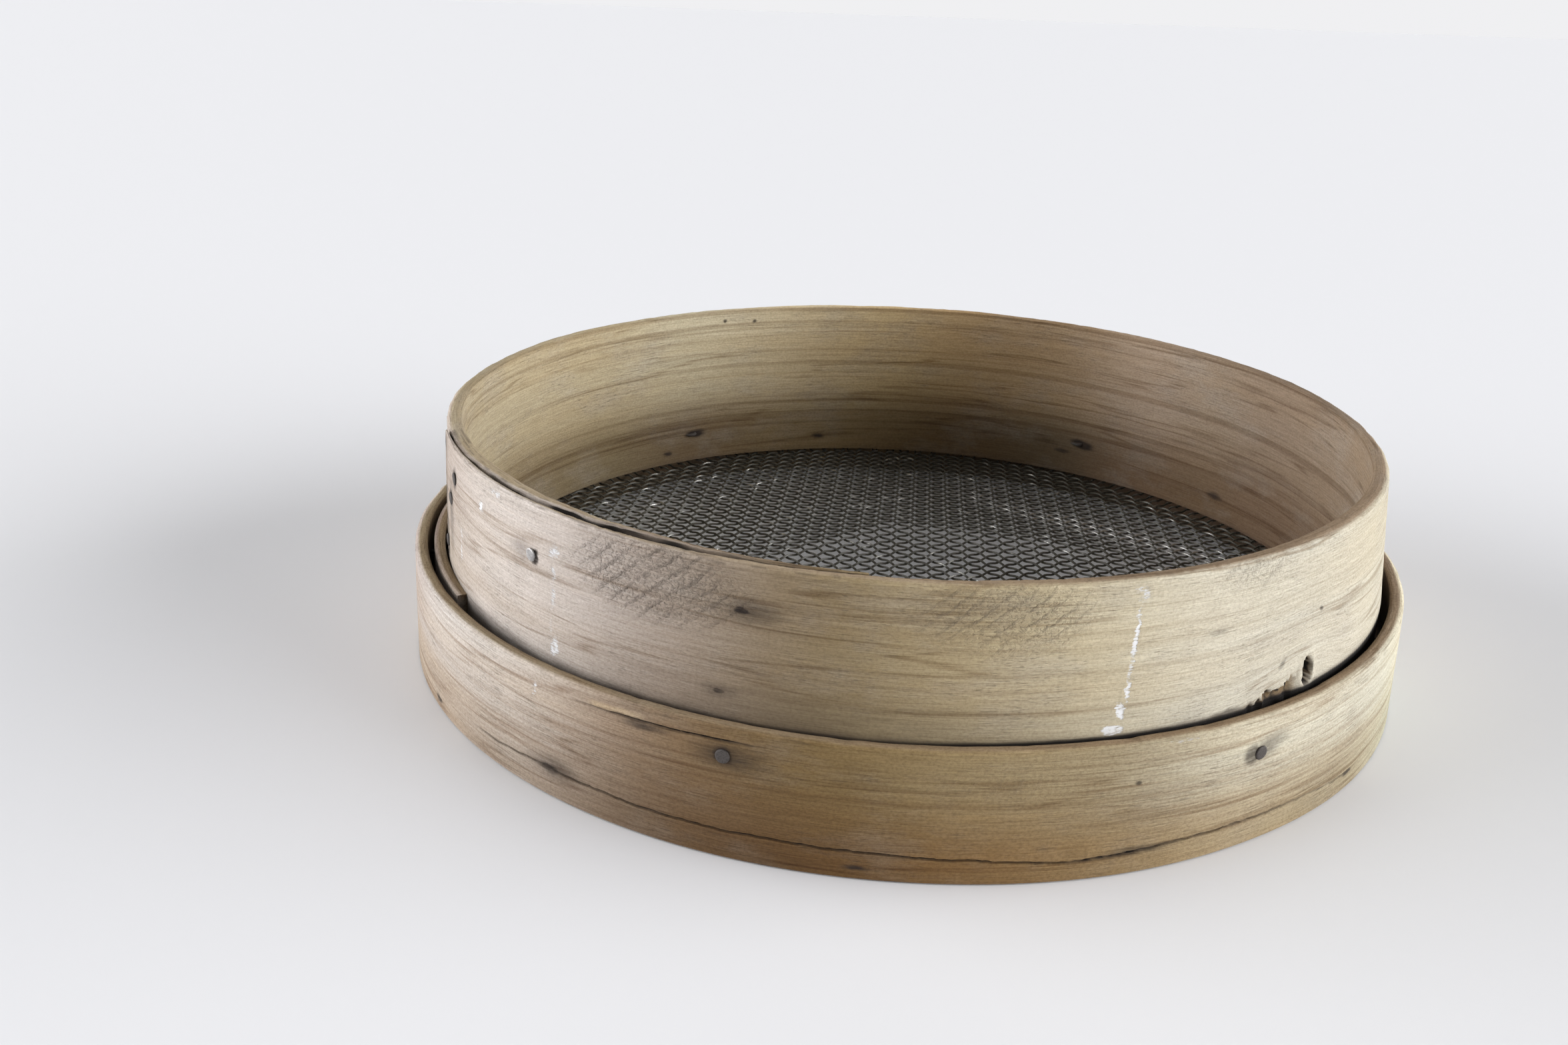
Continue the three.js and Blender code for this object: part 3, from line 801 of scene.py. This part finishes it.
def nail_object(name, place, radius, shank_end, clinch, tilt):
    azimuth, height, face = place
    out = np.array([math.cos(azimuth), math.sin(azimuth), 0.0])
    side = np.array([-math.sin(azimuth), math.cos(azimuth), 0.0])
    up = np.array([0.0, 0.0, 1.0])
    centre = out * face + up * height
    angle = 2 * math.pi * np.arange(HEAD_SIDES) / HEAD_SIDES
    ragged = 1 + 0.035 * nail_random.uniform(-1, 1, HEAD_SIDES)
    ragged = (ragged + np.roll(ragged, 1) + np.roll(ragged, -1)) / 3
    points, faces = [], []
    for distance, level in head_rings(radius, nail_random.uniform(-0.1, 0.1) * MM):
        spread = distance * ragged[:, None]
        ring = side * np.cos(angle)[:, None] * spread + up * np.sin(angle)[:, None] * spread
        lift = level + tilt[0] * np.cos(angle) * distance + tilt[1] * np.sin(angle) * distance
        points.append(centre + ring + out * lift[:, None])
    rings = len(points)
    index = np.arange(rings * HEAD_SIDES).reshape(rings, HEAD_SIDES)
    here, after = index[:-1], index[1:]
    quads = np.stack([here, np.roll(here, -1, 1), np.roll(after, -1, 1), after], axis=-1)
    faces += quads.reshape(-1, 4).tolist() + [index[-1].tolist()]
    shank = shank_points(centre, out, side, face - shank_end, clinch)
    base = rings * HEAD_SIDES
    shank_rings = tube_about(shank)
    points.append(shank_rings.reshape(-1, 3))
    tube = tube_faces(len(shank_rings), HEAD_SIDES, base)
    faces += tube[:-2] + [tube[-1]]
    joint = [list(pair) for pair in zip(index[0], np.roll(index[0], -1))]
    first = base + np.arange(HEAD_SIDES)
    for number, (a, b) in enumerate(joint):
        faces.append([b, a, int(first[number]), int(first[(number + 1) % HEAD_SIDES])])
    return add_object(name, new_mesh(name, np.concatenate(points), faces, 55))


def shank_points(centre, out, side, length, clinch):
    """Path and radius of the shank: through the wood, then bent over and hammered flat."""
    steps = [(0.8 * MM, 0, 0.85 * MM), (0.35 * length, 0, 0.85 * MM), (0.85 * length, 0, 0.8 * MM)]
    if clinch:
        steps += [
            (length - 0.9 * MM, 0.25 * MM, 0.78 * MM), (length - 0.35 * MM, 0.9 * MM, 0.75 * MM),
            (length - 0.1 * MM, 2.2 * MM, 0.68 * MM), (length - 0.25 * MM, 3.8 * MM, 0.5 * MM),
            (length - 0.6 * MM, 5.2 * MM, 0.2 * MM),
        ]
    else:
        steps += [(length, 0, 0.15 * MM)]
    return [(centre - out * inwards + side * bent, radius) for inwards, bent, radius in steps]


def tube_about(steps):
    """Rings of a tube whose path lies flat, with no rise."""
    path = np.array([point for point, radius in steps])
    radii = np.array([radius for point, radius in steps])
    tangent = np.gradient(path, axis=0)
    tangent /= np.linalg.norm(tangent, axis=1, keepdims=True)
    up = np.array([0.0, 0.0, 1.0])
    across = np.cross(up, tangent)
    angle = 2 * math.pi * np.arange(HEAD_SIDES) / HEAD_SIDES
    spread = -across[:, None, :] * np.cos(angle)[None, :, None] + up * np.sin(angle)[None, :, None]
    return path[:, None, :] + spread * radii[:, None, None]


HEAD_STANDS_OUT = 0.5 * MM
POLISHED_NAIL = "lap_nail_1"


def build_nails(material):
    names = [name for name in sorted(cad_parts) if "nail" in name or "tack" in name]
    for name in names:
        azimuth, height, _, inner = head_place(name)
        degrees = math.degrees(azimuth)
        band = name.startswith("band") or name.startswith("hoop")
        if band:
            surface = LOWER_RADIUS + lower_lean(degrees, height) + lower_surface_waves(degrees, height)
        else:
            surface = UPPER_RADIUS + upper_flare(degrees, height) + upper_surface_marks(degrees, height)
        tilt = nail_random.uniform(-0.06, 0.06, 2)
        place = (azimuth, height, float(surface) + HEAD_STANDS_OUT)
        clinched = not name.startswith("hoop")
        end = inner + float(upper_flare(degrees, height)) - CAD_FLARE * 0.5 if clinched else inner
        piece = nail_object(f"{name}_iron", place, 2.15 * MM, end, clinched, tilt)
        shine = 1.0 if name == POLISHED_NAIL else 0.03
        set_attribute(piece.data, "shine", "FLOAT", "value", np.full(len(piece.data.vertices), shine))
        finish_piece(piece, "nail", material, name)


# Materials

MARK_DEPTH = 2.4 * MM  # how deep into the strip a mark reaches, less than the strip is thick


class Graph:
    """Adds nodes to a node tree. Values may be numbers or sockets."""

    def __init__(self, tree):
        self.nodes = tree.nodes
        self.links = tree.links

    @classmethod
    def of_material(cls, name):
        material = bpy.data.materials.new(name)
        material.use_nodes = True
        graph = cls(material.node_tree)
        graph.material = material
        graph.shader = graph.nodes["Principled BSDF"]
        return graph

    def put(self, value, socket):
        if isinstance(value, bpy.types.NodeSocket):
            self.links.new(value, socket)
        else:
            socket.default_value = value

    def add(self, kind, inputs, **settings):
        """A new node with these settings. inputs gives the value of each named or numbered input."""
        node = self.nodes.new("ShaderNode" + kind)
        for name, value in settings.items():
            setattr(node, name, value)
        for name, value in inputs.items():
            self.put(value, node.inputs[name])
        return node

    def math(self, operation, *values):
        return self.add("Math", dict(enumerate(values)), operation=operation).outputs[0]

    def attribute(self, name, output="Vector"):
        return self.add("Attribute", {}, attribute_name=name).outputs[output]

    def stretch(self, vector, scale):
        return self.add("Mapping", {"Vector": vector, "Scale": scale}).outputs[0]

    def noise(self, vector, detail=2.0, roughness=0.5, output="Fac"):
        inputs = {"Vector": vector, "Scale": 1, "Detail": detail, "Roughness": roughness, "Distortion": 0}
        return self.add("TexNoise", inputs).outputs[output]

    def ease(self, value, start, end, low=0.0, high=1.0):
        inputs = {"Value": value, "From Min": start, "From Max": end, "To Min": low, "To Max": high}
        return self.add("MapRange", inputs, interpolation_type="SMOOTHSTEP").outputs["Result"]

    def mix(self, factor, first, second, blend_type="MIX"):
        inputs = {"Factor": factor, 6: first, 7: second}
        return self.add("Mix", inputs, data_type="RGBA", blend_type=blend_type).outputs[2]

    def split(self, vector):
        return self.add("SeparateXYZ", {0: vector}).outputs

    def vector(self, operation, *values):
        return self.add("VectorMath", dict(enumerate(values)), operation=operation).outputs

    def wobble(self, vector, scale, amount):
        """The vector moved about by noise, so that what is drawn with it gets ragged edges."""
        shift = self.noise(self.stretch(vector, scale), detail=3, output="Color")
        centred = self.vector("SUBTRACT", shift, (0.5, 0.5, 0.5))[0]
        return self.vector("MULTIPLY_ADD", centred, amount, vector)[0]

    def spot(self, vector, mark):
        """Mask of one mark: an ellipse with a soft edge at its place on the strip."""
        place = self.add("Mapping", {}, vector_type="TEXTURE")
        self.put(vector, place.inputs["Vector"])
        self.put(mark["at"], place.inputs["Location"])
        self.put((0, 0, math.radians(mark["tilt"])), place.inputs["Rotation"])
        self.put((mark["along"], mark["across"], MARK_DEPTH), place.inputs["Scale"])
        length = self.vector("LENGTH", place.outputs[0])["Value"]
        return self.ease(length, mark["core"], 1.0, mark["strength"], 0.0)

    def spots(self, vector, marks):
        masks = [self.spot(vector, mark) for mark in marks]
        total = masks[0]
        for mask in masks[1:]:
            total = self.math("MAXIMUM", total, mask)
        return total

    def scars(self, vector, patches):
        """Slanting saw marks made of small pits, in patches with a spacing and a slant; lines and pits."""
        wander = self.noise(self.stretch(vector, (60, 110, 90)), detail=3, roughness=0.6)
        pits = self.noise(self.stretch(vector, (700, 1100, 900)), detail=3, roughness=0.65)
        lines = rough = None
        for patch in patches:
            slant = (0, 0, math.radians(patch["slant"]))
            turned = self.add("Mapping", {}, vector_type="TEXTURE")
            self.put(vector, turned.inputs["Vector"])
            self.put(slant, turned.inputs["Rotation"])
            across = self.split(turned.outputs[0])[1]
            phase = self.math("MULTIPLY_ADD", wander, patch["spacing"] * 1.1, across)
            wave = self.math("SINE", self.math("MULTIPLY", phase, 2 * math.pi / patch["spacing"]))
            flecks = self.noise(self.stretch(turned.outputs[0], (800, 1250, 900)), detail=3, roughness=0.6)
            ridge = self.ease(self.math("MULTIPLY_ADD", flecks, 2.4, wave), 1.75, 2.35)
            ridge = self.math("MULTIPLY", ridge, self.ease(wander, 0.35, 0.55, 0.25, 1))
            place = self.spot(vector, patch)
            line = self.math("MULTIPLY", ridge, place)
            torn = self.math("MULTIPLY", self.ease(pits, 0.46, 0.64), place)
            lines = line if lines is None else self.math("MAXIMUM", lines, line)
            rough = torn if rough is None else self.math("MAXIMUM", rough, torn)
        return lines, rough

    def bump(self, height, distance):
        node = self.add("Bump", {"Height": height, "Strength": 1, "Distance": distance})
        self.put(node.outputs[0], self.shader.inputs["Normal"])


def mark(start, lap, azimuth, height, along, across, core=0.2, strength=1.0, tilt=0.0, inside=0.0):
    """A mark at an azimuth and height in millimetres, half its length and width, and how it fades.

    inside is the strip's thickness for a mark on its inside, and 0 for one on its outside."""
    turned = (start - azimuth) % FULL_TURN
    if turned < lap and not inside:
        turned += FULL_TURN
    return {
        "at": (math.radians(turned) * LOWER_RADIUS, height * MM, -inside),
        "along": along * MM, "across": across * MM, "core": core, "strength": strength, "tilt": tilt,
    }


def upper_mark(*place, **shape):
    return mark(UPPER_START, UPPER_LAP, *place, **shape)


def lower_mark(*place, **shape):
    return mark(LOWER_START, LOWER_LAP, *place, **shape)


INSIDE = UPPER_THICKNESS
UPPER_STAINS = [
    # knots and their halos
    upper_mark(-103.9, 70.7, 4.2, 1.5, core=0.4),
    upper_mark(-103.0, 70.5, 15, 5, core=0.0, strength=0.7),
    upper_mark(-105.6, 46.8, 3.0, 1.1, core=0.4),
    upper_mark(-105.6, 47.0, 9, 3.0, core=0.0, strength=0.55),
    upper_mark(-42.6, 62.3, 1.7, 1.0, core=0.3, strength=0.8),
    upper_mark(-58.0, 65.0, 6, 1.6, core=0.0, strength=0.45),
    # lap nails
    upper_mark(-129.1, 68.1, 2.7, 3.0, core=0.5, strength=1.1),
    upper_mark(-131.4, 68.8, 10, 5, core=0.0, strength=0.4),
    upper_mark(-150.3, 73.8, 4.5, 5.0, core=0.3),
    upper_mark(-152.6, 65.0, 4.5, 5.0, core=0.3),
    upper_mark(-156.0, 46.0, 5, 10, core=0.2),
    upper_mark(-152.5, 60.0, 7, 22, core=0.0, strength=0.5),
    # knothole and torn bark
    upper_mark(-49.0, 50.0, 3.5, 1.2, core=0.1, strength=0.6, tilt=-35),
    upper_mark(-56.5, 40.6, 9, 1.4, core=0.3, strength=0.7),
    # inside: the clinched points and small knots
    upper_mark(127.3, 26.7, 8, 2.6, core=0.35, strength=1.1, inside=INSIDE),
    upper_mark(59.7, 28.7, 9, 3.0, core=0.35, strength=1.1, tilt=-6, inside=INSIDE),
    upper_mark(132.6, 19.0, 4, 1.8, core=0.25, strength=0.9, inside=INSIDE),
    upper_mark(105.0, 20.4, 5, 1.8, core=0.25, strength=0.9, inside=INSIDE),
    upper_mark(63.1, 24.0, 6, 1.6, core=0.2, strength=0.8, inside=INSIDE),
    upper_mark(34.3, 24.0, 7, 2.4, core=0.2, strength=0.9, inside=INSIDE),
    upper_mark(122.5, 80.3, 1.8, 1.2, core=0.3, strength=0.9, inside=INSIDE),
    upper_mark(117.1, 79.4, 1.8, 1.2, core=0.3, strength=0.9, inside=INSIDE),
]
UPPER_PAINT = [
    upper_mark(-67.6, 61.0, 1.5, 24, core=0.2, strength=0.75, tilt=8),
    upper_mark(-66.4, 79.0, 5.5, 7, core=0.0, strength=0.62),
    upper_mark(-69.3, 41.9, 4.8, 2.1, core=0.5, strength=0.95),
    upper_mark(-68.6, 47.0, 2.4, 3.6, core=0.3, strength=0.86),
    upper_mark(-125.9, 58.0, 2.6, 24, core=0.0, strength=0.58),
    upper_mark(-126.2, 71.5, 4.4, 4.8, core=0.1, strength=0.66),
    upper_mark(-125.2, 44.0, 3.2, 5, core=0.3, strength=0.76),
    upper_mark(-147.0, 54.0, 3.0, 18, core=0.0, strength=0.55),
    upper_mark(-140.4, 74.0, 4.0, 3.4, core=0.1, strength=0.6),
    upper_mark(-137.0, 81.0, 7, 2.0, core=0.1, strength=0.5),
]
UPPER_SCARS = [
    {**upper_mark(-113.0, 74, 42, 15, core=0.45, strength=1.0), "slant": -37, "spacing": 4.3 * MM},
    {**upper_mark(-80.0, 75, 36, 15, core=0.3, strength=0.75), "slant": -36, "spacing": 3.4 * MM},
    {**upper_mark(-53.0, 80, 24, 8, core=0.1, strength=0.5), "slant": -36, "spacing": 6.0 * MM},
]
LOWER_SCARS = [
    {**lower_mark(-80.0, 30, 45, 10, core=0.1, strength=0.22), "slant": -60, "spacing": 5.0 * MM},
]
LOWER_STAINS = [
    lower_mark(-104.2, 31.3, 5.0, 4.4, core=0.45, strength=0.9),
    lower_mark(-103.6, 31.3, 17, 6.5, core=0.1, strength=0.72),
    lower_mark(-54.6, 29.0, 4.4, 4.2, core=0.45, strength=0.8),
    lower_mark(-52.6, 30.2, 12, 5.0, core=0.1, strength=0.62, tilt=-14),
    lower_mark(-123.0, 9.6, 6.5, 2.8, core=0.3),
    lower_mark(-122.4, 10.4, 15, 5.5, core=0.1, strength=0.65),
    lower_mark(-145.2, 3.4, 4.0, 1.8, core=0.3, strength=0.9),
    lower_mark(-37.6, 5.8, 4.0, 1.3, core=0.3, strength=0.9),
    lower_mark(-67.1, 27.9, 1.6, 1.0, core=0.3, strength=0.8),
    lower_mark(-92.0, 3.6, 5.0, 1.3, core=0.2, strength=0.9),
    lower_mark(-112.0, 34.2, 11, 1.8, core=0.1, strength=0.8),
    lower_mark(-66.5, 7.2, 16, 2.2, core=0.1, strength=0.7),
]
LOWER_PAINT = [
    lower_mark(-125.2, 33.5, 2.2, 6, core=0.0, strength=0.6),
    lower_mark(-63.0, 38.6, 13, 1.2, core=0.2, strength=0.45),
]

STAIN_COLOUR = (0.028, 0.02, 0.016, 1)
# The grime colour and the near-black colour also paint the shade at the joint between the hoops.
GRIME_AND_SHADE_COLOUR = (0.07, 0.052, 0.04, 1)
PAINT_COLOUR = (0.84, 0.85, 0.87, 1)
PAINT_COVER = 0.82
DEEP_DIRT_AND_SHADE_COLOUR = (0.012, 0.009, 0.007, 1)
SCAR_COLOUR = (0.13, 0.105, 0.085, 1)


def wood(name, stains, paint, scars, look):
    """Old bare wood. look gives how strong its lines, pores and weathering are."""
    graph = Graph.of_material(name)
    strip = graph.attribute("strip")
    grain = graph.attribute("grain")
    tint = graph.attribute("tint", "Color")
    dirt_and_shade = graph.attribute("dirt_and_shade", "Fac")
    inside = graph.ease(graph.split(strip)[2], -0.6 * MM, -2.0 * MM)
    ragged = graph.wobble(strip, (160, 500, 300), (3.0 * MM, 1.6 * MM, 0))
    bent = graph.wobble(grain, (7, 9, 40), (0, 3.4 * MM, 0))

    broad = graph.noise(graph.stretch(bent, (3.5, 60, 90)), detail=3)
    figure = graph.noise(graph.stretch(bent, (0.8, 240, 60)), detail=2, roughness=0.6)
    fibre = graph.noise(graph.stretch(grain, (70, 3300, 2000)), detail=4, roughness=0.7)
    streak = graph.noise(graph.stretch(bent, (9, 800, 500)), detail=4, roughness=0.65)
    pore = graph.noise(graph.stretch(grain, look["pore_scale"]), detail=2, roughness=0.5)
    blotch = graph.noise(graph.stretch(strip, (28, 60, 60)), detail=5, roughness=0.65)
    grit = graph.noise(graph.stretch(strip, (900, 1300, 1300)), detail=3, roughness=0.7)

    colour = graph.mix(graph.ease(broad, 0.35, 0.68, 0, look["broad"]), tint, look["warm"], "MULTIPLY")
    colour = graph.mix(graph.ease(blotch, 0.45, 0.72, 0, look["grey"]), colour, look["grey_colour"])
    line_strength = graph.ease(inside, 0, 1, look["lines"], look["inside_lines"])
    lines = graph.math("MULTIPLY", graph.ease(figure, 0.52, 0.68), line_strength)
    colour = graph.mix(lines, colour, look["line_colour"], "MULTIPLY")
    contour = graph.math("ABSOLUTE", graph.math("SUBTRACT", broad, 0.5))
    contour = graph.math("MULTIPLY", graph.ease(contour, 0.0, 0.02, 1, 0), graph.ease(streak, 0.35, 0.6))
    rings = graph.math("MULTIPLY", contour, look["rings"])
    colour = graph.mix(rings, colour, look["line_colour"], "MULTIPLY")
    streaks = graph.ease(streak, 0.46, 0.76, 0, look["streaks"])
    streaks = graph.math("MULTIPLY", streaks, graph.ease(inside, 0, 1, 1, 0.5))
    colour = graph.mix(streaks, colour, look["line_colour"], "MULTIPLY")
    colour = graph.mix(graph.ease(streak, 0.50, 0.26, 0, 0.3), colour, (1.25, 1.22, 1.18, 1), "MULTIPLY")
    colour = graph.mix(graph.ease(fibre, 0.34, 0.70, 0.0, 0.42), colour, (0.42, 0.35, 0.28, 1), "MULTIPLY")
    grime_specks = graph.ease(grit, 0.36, 0.70, 0.0, look["grit"])
    colour = graph.mix(grime_specks, colour, (0.38, 0.32, 0.27, 1), "MULTIPLY")
    pores = graph.ease(pore, look["pore_from"], look["pore_from"] + 0.09, 0, look["pores"])
    pores = graph.math("MULTIPLY", pores, graph.ease(blotch, 0.42, 0.62, 0.3, 1))
    colour = graph.mix(pores, colour, look["pore_colour"])
    scar, pits = graph.scars(strip, scars)
    colour = graph.mix(graph.math("MULTIPLY", scar, 0.45), colour, SCAR_COLOUR)
    colour = graph.mix(graph.math("MULTIPLY", pits, 0.18), colour, SCAR_COLOUR)

    stain = graph.spots(ragged, stains)
    stain_noise = graph.noise(graph.stretch(strip, (120, 900, 500)), detail=3)
    stain = graph.math("MULTIPLY", stain, graph.ease(stain_noise, 0.2, 0.6, 0.6, 1.0))
    colour = graph.mix(stain, colour, STAIN_COLOUR)
    # Grime colour from the attribute, which holds real dirt and painted shade.
    grime_and_shade_noise = graph.noise(graph.stretch(strip, (60, 300, 300)), detail=4)
    grime_and_shade = graph.math("MULTIPLY", dirt_and_shade, graph.ease(grime_and_shade_noise, 0.25, 0.6, 0.6, 1.0))
    colour = graph.mix(grime_and_shade, colour, GRIME_AND_SHADE_COLOUR)
    # Near black where the attribute is strongest: cracks, knothole and groove, and painted shadow at the joint
    # between the hoops.
    colour = graph.mix(graph.ease(dirt_and_shade, 0.55, 0.95), colour, DEEP_DIRT_AND_SHADE_COLOUR)
    flake = graph.noise(graph.stretch(strip, (420, 1900, 900)), detail=4, roughness=0.7)
    gaps = graph.noise(graph.stretch(strip, (200, 140, 200)), detail=3)
    loose = graph.math("ADD", graph.math("MULTIPLY", flake, 0.55), graph.math("MULTIPLY", gaps, 0.45))
    paint_mask = graph.spots(ragged, paint)
    painted = graph.ease(graph.math("MULTIPLY_ADD", paint_mask, 0.3, loose), 0.62, 0.74)
    painted = graph.math("MULTIPLY", painted, graph.ease(paint_mask, 0.02, 0.25))
    colour = graph.mix(graph.math("MULTIPLY", painted, PAINT_COVER), colour, PAINT_COLOUR)
    graph.put(colour, graph.shader.inputs["Base Color"])

    graph.put(graph.ease(fibre, 0.2, 0.8, 0.74, 0.92), graph.shader.inputs["Roughness"])
    graph.shader.inputs["Specular IOR Level"].default_value = 0.22
    relief = graph.math("MULTIPLY", fibre, -0.5)
    layers = (
        (streak, -0.45), (pores, -0.6), (lines, -0.25), (scar, -1.0), (pits, -0.8), (grit, -0.35),
        (painted, 0.3),
    )
    for height, share in layers:
        relief = graph.math("ADD", relief, graph.math("MULTIPLY", height, share))
    graph.bump(relief, 0.4 * MM)
    return graph.material


UPPER_LOOK = {
    "rings": 0.6, "broad": 0.4, "warm": (0.88, 0.79, 0.66, 1), "grey": 0.25,
    "grey_colour": (0.43, 0.40, 0.36, 1),
    "lines": 0.24, "inside_lines": 0.5, "line_colour": (0.45, 0.36, 0.27, 1), "streaks": 0.2, "grit": 0.32,
    "pore_scale": (260, 4200, 2400), "pore_from": 0.60, "pores": 0.42, "pore_colour": (0.10, 0.08, 0.06, 1),
}
LOWER_LOOK = {
    "rings": 0.5, "broad": 0.5, "warm": (0.88, 0.75, 0.58, 1), "grey": 0.2,
    "grey_colour": (0.36, 0.32, 0.27, 1),
    "lines": 0.3, "inside_lines": 0.45, "line_colour": (0.47, 0.35, 0.25, 1), "streaks": 0.42, "grit": 0.4,
    "pore_scale": (120, 4200, 2400), "pore_from": 0.59, "pores": 0.42, "pore_colour": (0.07, 0.05, 0.035, 1),
}


def metal(name, colour, dull, roughness, metallic):
    """Old metal: colour where the shine attribute is high, which is polish by use and, on the wire cloth,
    painted highlights; dull and rusty elsewhere.
    """
    graph = Graph.of_material(name)
    coordinates = graph.nodes.new("ShaderNodeTexCoord").outputs["Object"]
    patches = graph.noise(graph.stretch(coordinates, (90, 90, 90)), detail=4, roughness=0.6)
    grain = graph.noise(graph.stretch(coordinates, (2200, 2200, 2200)), detail=3)
    shine = graph.attribute("shine", "Fac")
    polish_and_highlights = graph.math("MULTIPLY", shine, graph.ease(patches, 0.66, 0.40, 0.45, 1))
    mixed = graph.mix(polish_and_highlights, dull, colour)
    mixed = graph.mix(graph.ease(grain, 0.4, 0.7, 0, 0.4), mixed, (0.02, 0.018, 0.015, 1))
    graph.put(mixed, graph.shader.inputs["Base Color"])
    graph.put(graph.ease(polish_and_highlights, 0, 0.6, 0.1, metallic), graph.shader.inputs["Metallic"])
    graph.put(graph.ease(polish_and_highlights, 0, 0.6, roughness + 0.3, roughness), graph.shader.inputs["Roughness"])
    graph.shader.inputs["Specular IOR Level"].default_value = 0.3
    graph.bump(grain, 0.12 * MM)
    return graph.material


# Floor, light and camera

def build_floor():
    size = 12.0
    corners = [(-size, -size, 0), (size, -size, 0), (size, size, 0), (-size, size, 0)]
    mesh = bpy.data.meshes.new("floor")
    mesh.from_pydata(corners, [], [(0, 1, 2, 3)])
    floor = add_object("floor", mesh)
    graph = Graph.of_material("floor_white")
    graph.shader.inputs["Base Color"].default_value = (0.86, 0.86, 0.875, 1)
    graph.shader.inputs["Roughness"].default_value = 0.85
    graph.shader.inputs["Specular IOR Level"].default_value = 0.1
    floor.data.materials.append(graph.material)


SKY_BASE = 0.07
SKY_BACK = 0.35
SKY_TOP = 0.25
WINDOWS = [(-4, 10.0), (-177, 8.0)]  # azimuth and strength of the two wide, low, soft windows
WINDOW_EDGE = (0.76, 0.84)  # cosines of the angle from a window's middle to its soft edge
WINDOW_RISE = (0.30, 0.68)


def build_world():
    """Soft studio light from two wide windows at the sides, and a white background for the camera."""
    world = bpy.data.worlds.new("studio")
    world.use_nodes = True
    graph = Graph(world.node_tree)
    direction = graph.nodes.new("ShaderNodeTexCoord").outputs["Generated"]
    direction_parts = graph.split(direction)
    y, z = direction_parts[1], direction_parts[2]
    low = graph.ease(z, *WINDOW_RISE, 1, 0)
    back = graph.ease(y, 0, 1, SKY_BASE, SKY_BASE + SKY_BACK)
    total = graph.math("ADD", back, graph.ease(z, 0.2, 1, 0, SKY_TOP))
    for azimuth, strength in WINDOWS:
        middle = (math.cos(math.radians(azimuth)), math.sin(math.radians(azimuth)), 0)
        towards = graph.vector("DOT_PRODUCT", direction, middle)["Value"]
        window = graph.ease(towards, *WINDOW_EDGE, 0, strength)
        total = graph.math("ADD", total, graph.math("MULTIPLY", window, low))
    light = graph.nodes["Background"]
    light.inputs["Color"].default_value = (0.98, 0.985, 1.0, 1)
    graph.put(total, light.inputs["Strength"])
    backdrop = graph.nodes.new("ShaderNodeBackground")
    backdrop.inputs["Color"].default_value = (0.87, 0.87, 0.885, 1)
    seen = graph.nodes.new("ShaderNodeLightPath").outputs["Is Camera Ray"]
    mix = graph.nodes.new("ShaderNodeMixShader")
    graph.put(seen, mix.inputs[0])
    graph.put(light.outputs[0], mix.inputs[1])
    graph.put(backdrop.outputs[0], mix.inputs[2])
    graph.put(mix.outputs[0], graph.nodes["World Output"].inputs["Surface"])
    bpy.context.scene.world = world


CAMERA_PLACE = Vector((0, -2.8216, 1.2685)) * LOWER_RADIUS
CAMERA_YAW = 0.0867
CAMERA_DOWN = 0.3638
CAMERA_ROLL = 0.0337
LENS_SHARE = 2126.3 / 2352  # focal length over picture width


def build_camera():
    camera = bpy.data.cameras.new("camera")
    camera.sensor_width = 36
    camera.lens = camera.sensor_width * LENS_SHARE
    camera.clip_start = 0.01
    holder = bpy.data.objects.new("camera", camera)
    turn = Matrix.Rotation(CAMERA_YAW, 4, "Z") @ Matrix.Rotation(math.pi / 2 - CAMERA_DOWN, 4, "X")
    roll = Matrix.Rotation(CAMERA_ROLL, 4, "Z")
    holder.matrix_world = Matrix.Translation(CAMERA_PLACE) @ turn @ roll
    bpy.context.scene.collection.objects.link(holder)
    bpy.context.scene.camera = holder
    bpy.context.scene.view_settings.view_transform = "Standard"


build_camera()
build_world()
build_floor()
build_upper_hoop(wood("weathered_upper_wood", UPPER_STAINS, UPPER_PAINT, UPPER_SCARS, UPPER_LOOK))
build_lower_hoop(wood("worn_lower_wood", LOWER_STAINS, LOWER_PAINT, LOWER_SCARS, LOWER_LOOK))
wire = metal("old_wire", (0.72, 0.72, 0.68, 1), (0.062, 0.056, 0.04, 1), 0.3, 0.9)
build_cloth(wire)
build_cloth_edge(wire)
build_nails(metal("nail_iron", (0.62, 0.60, 0.59, 1), (0.06, 0.05, 0.045, 1), 0.4, 0.5))
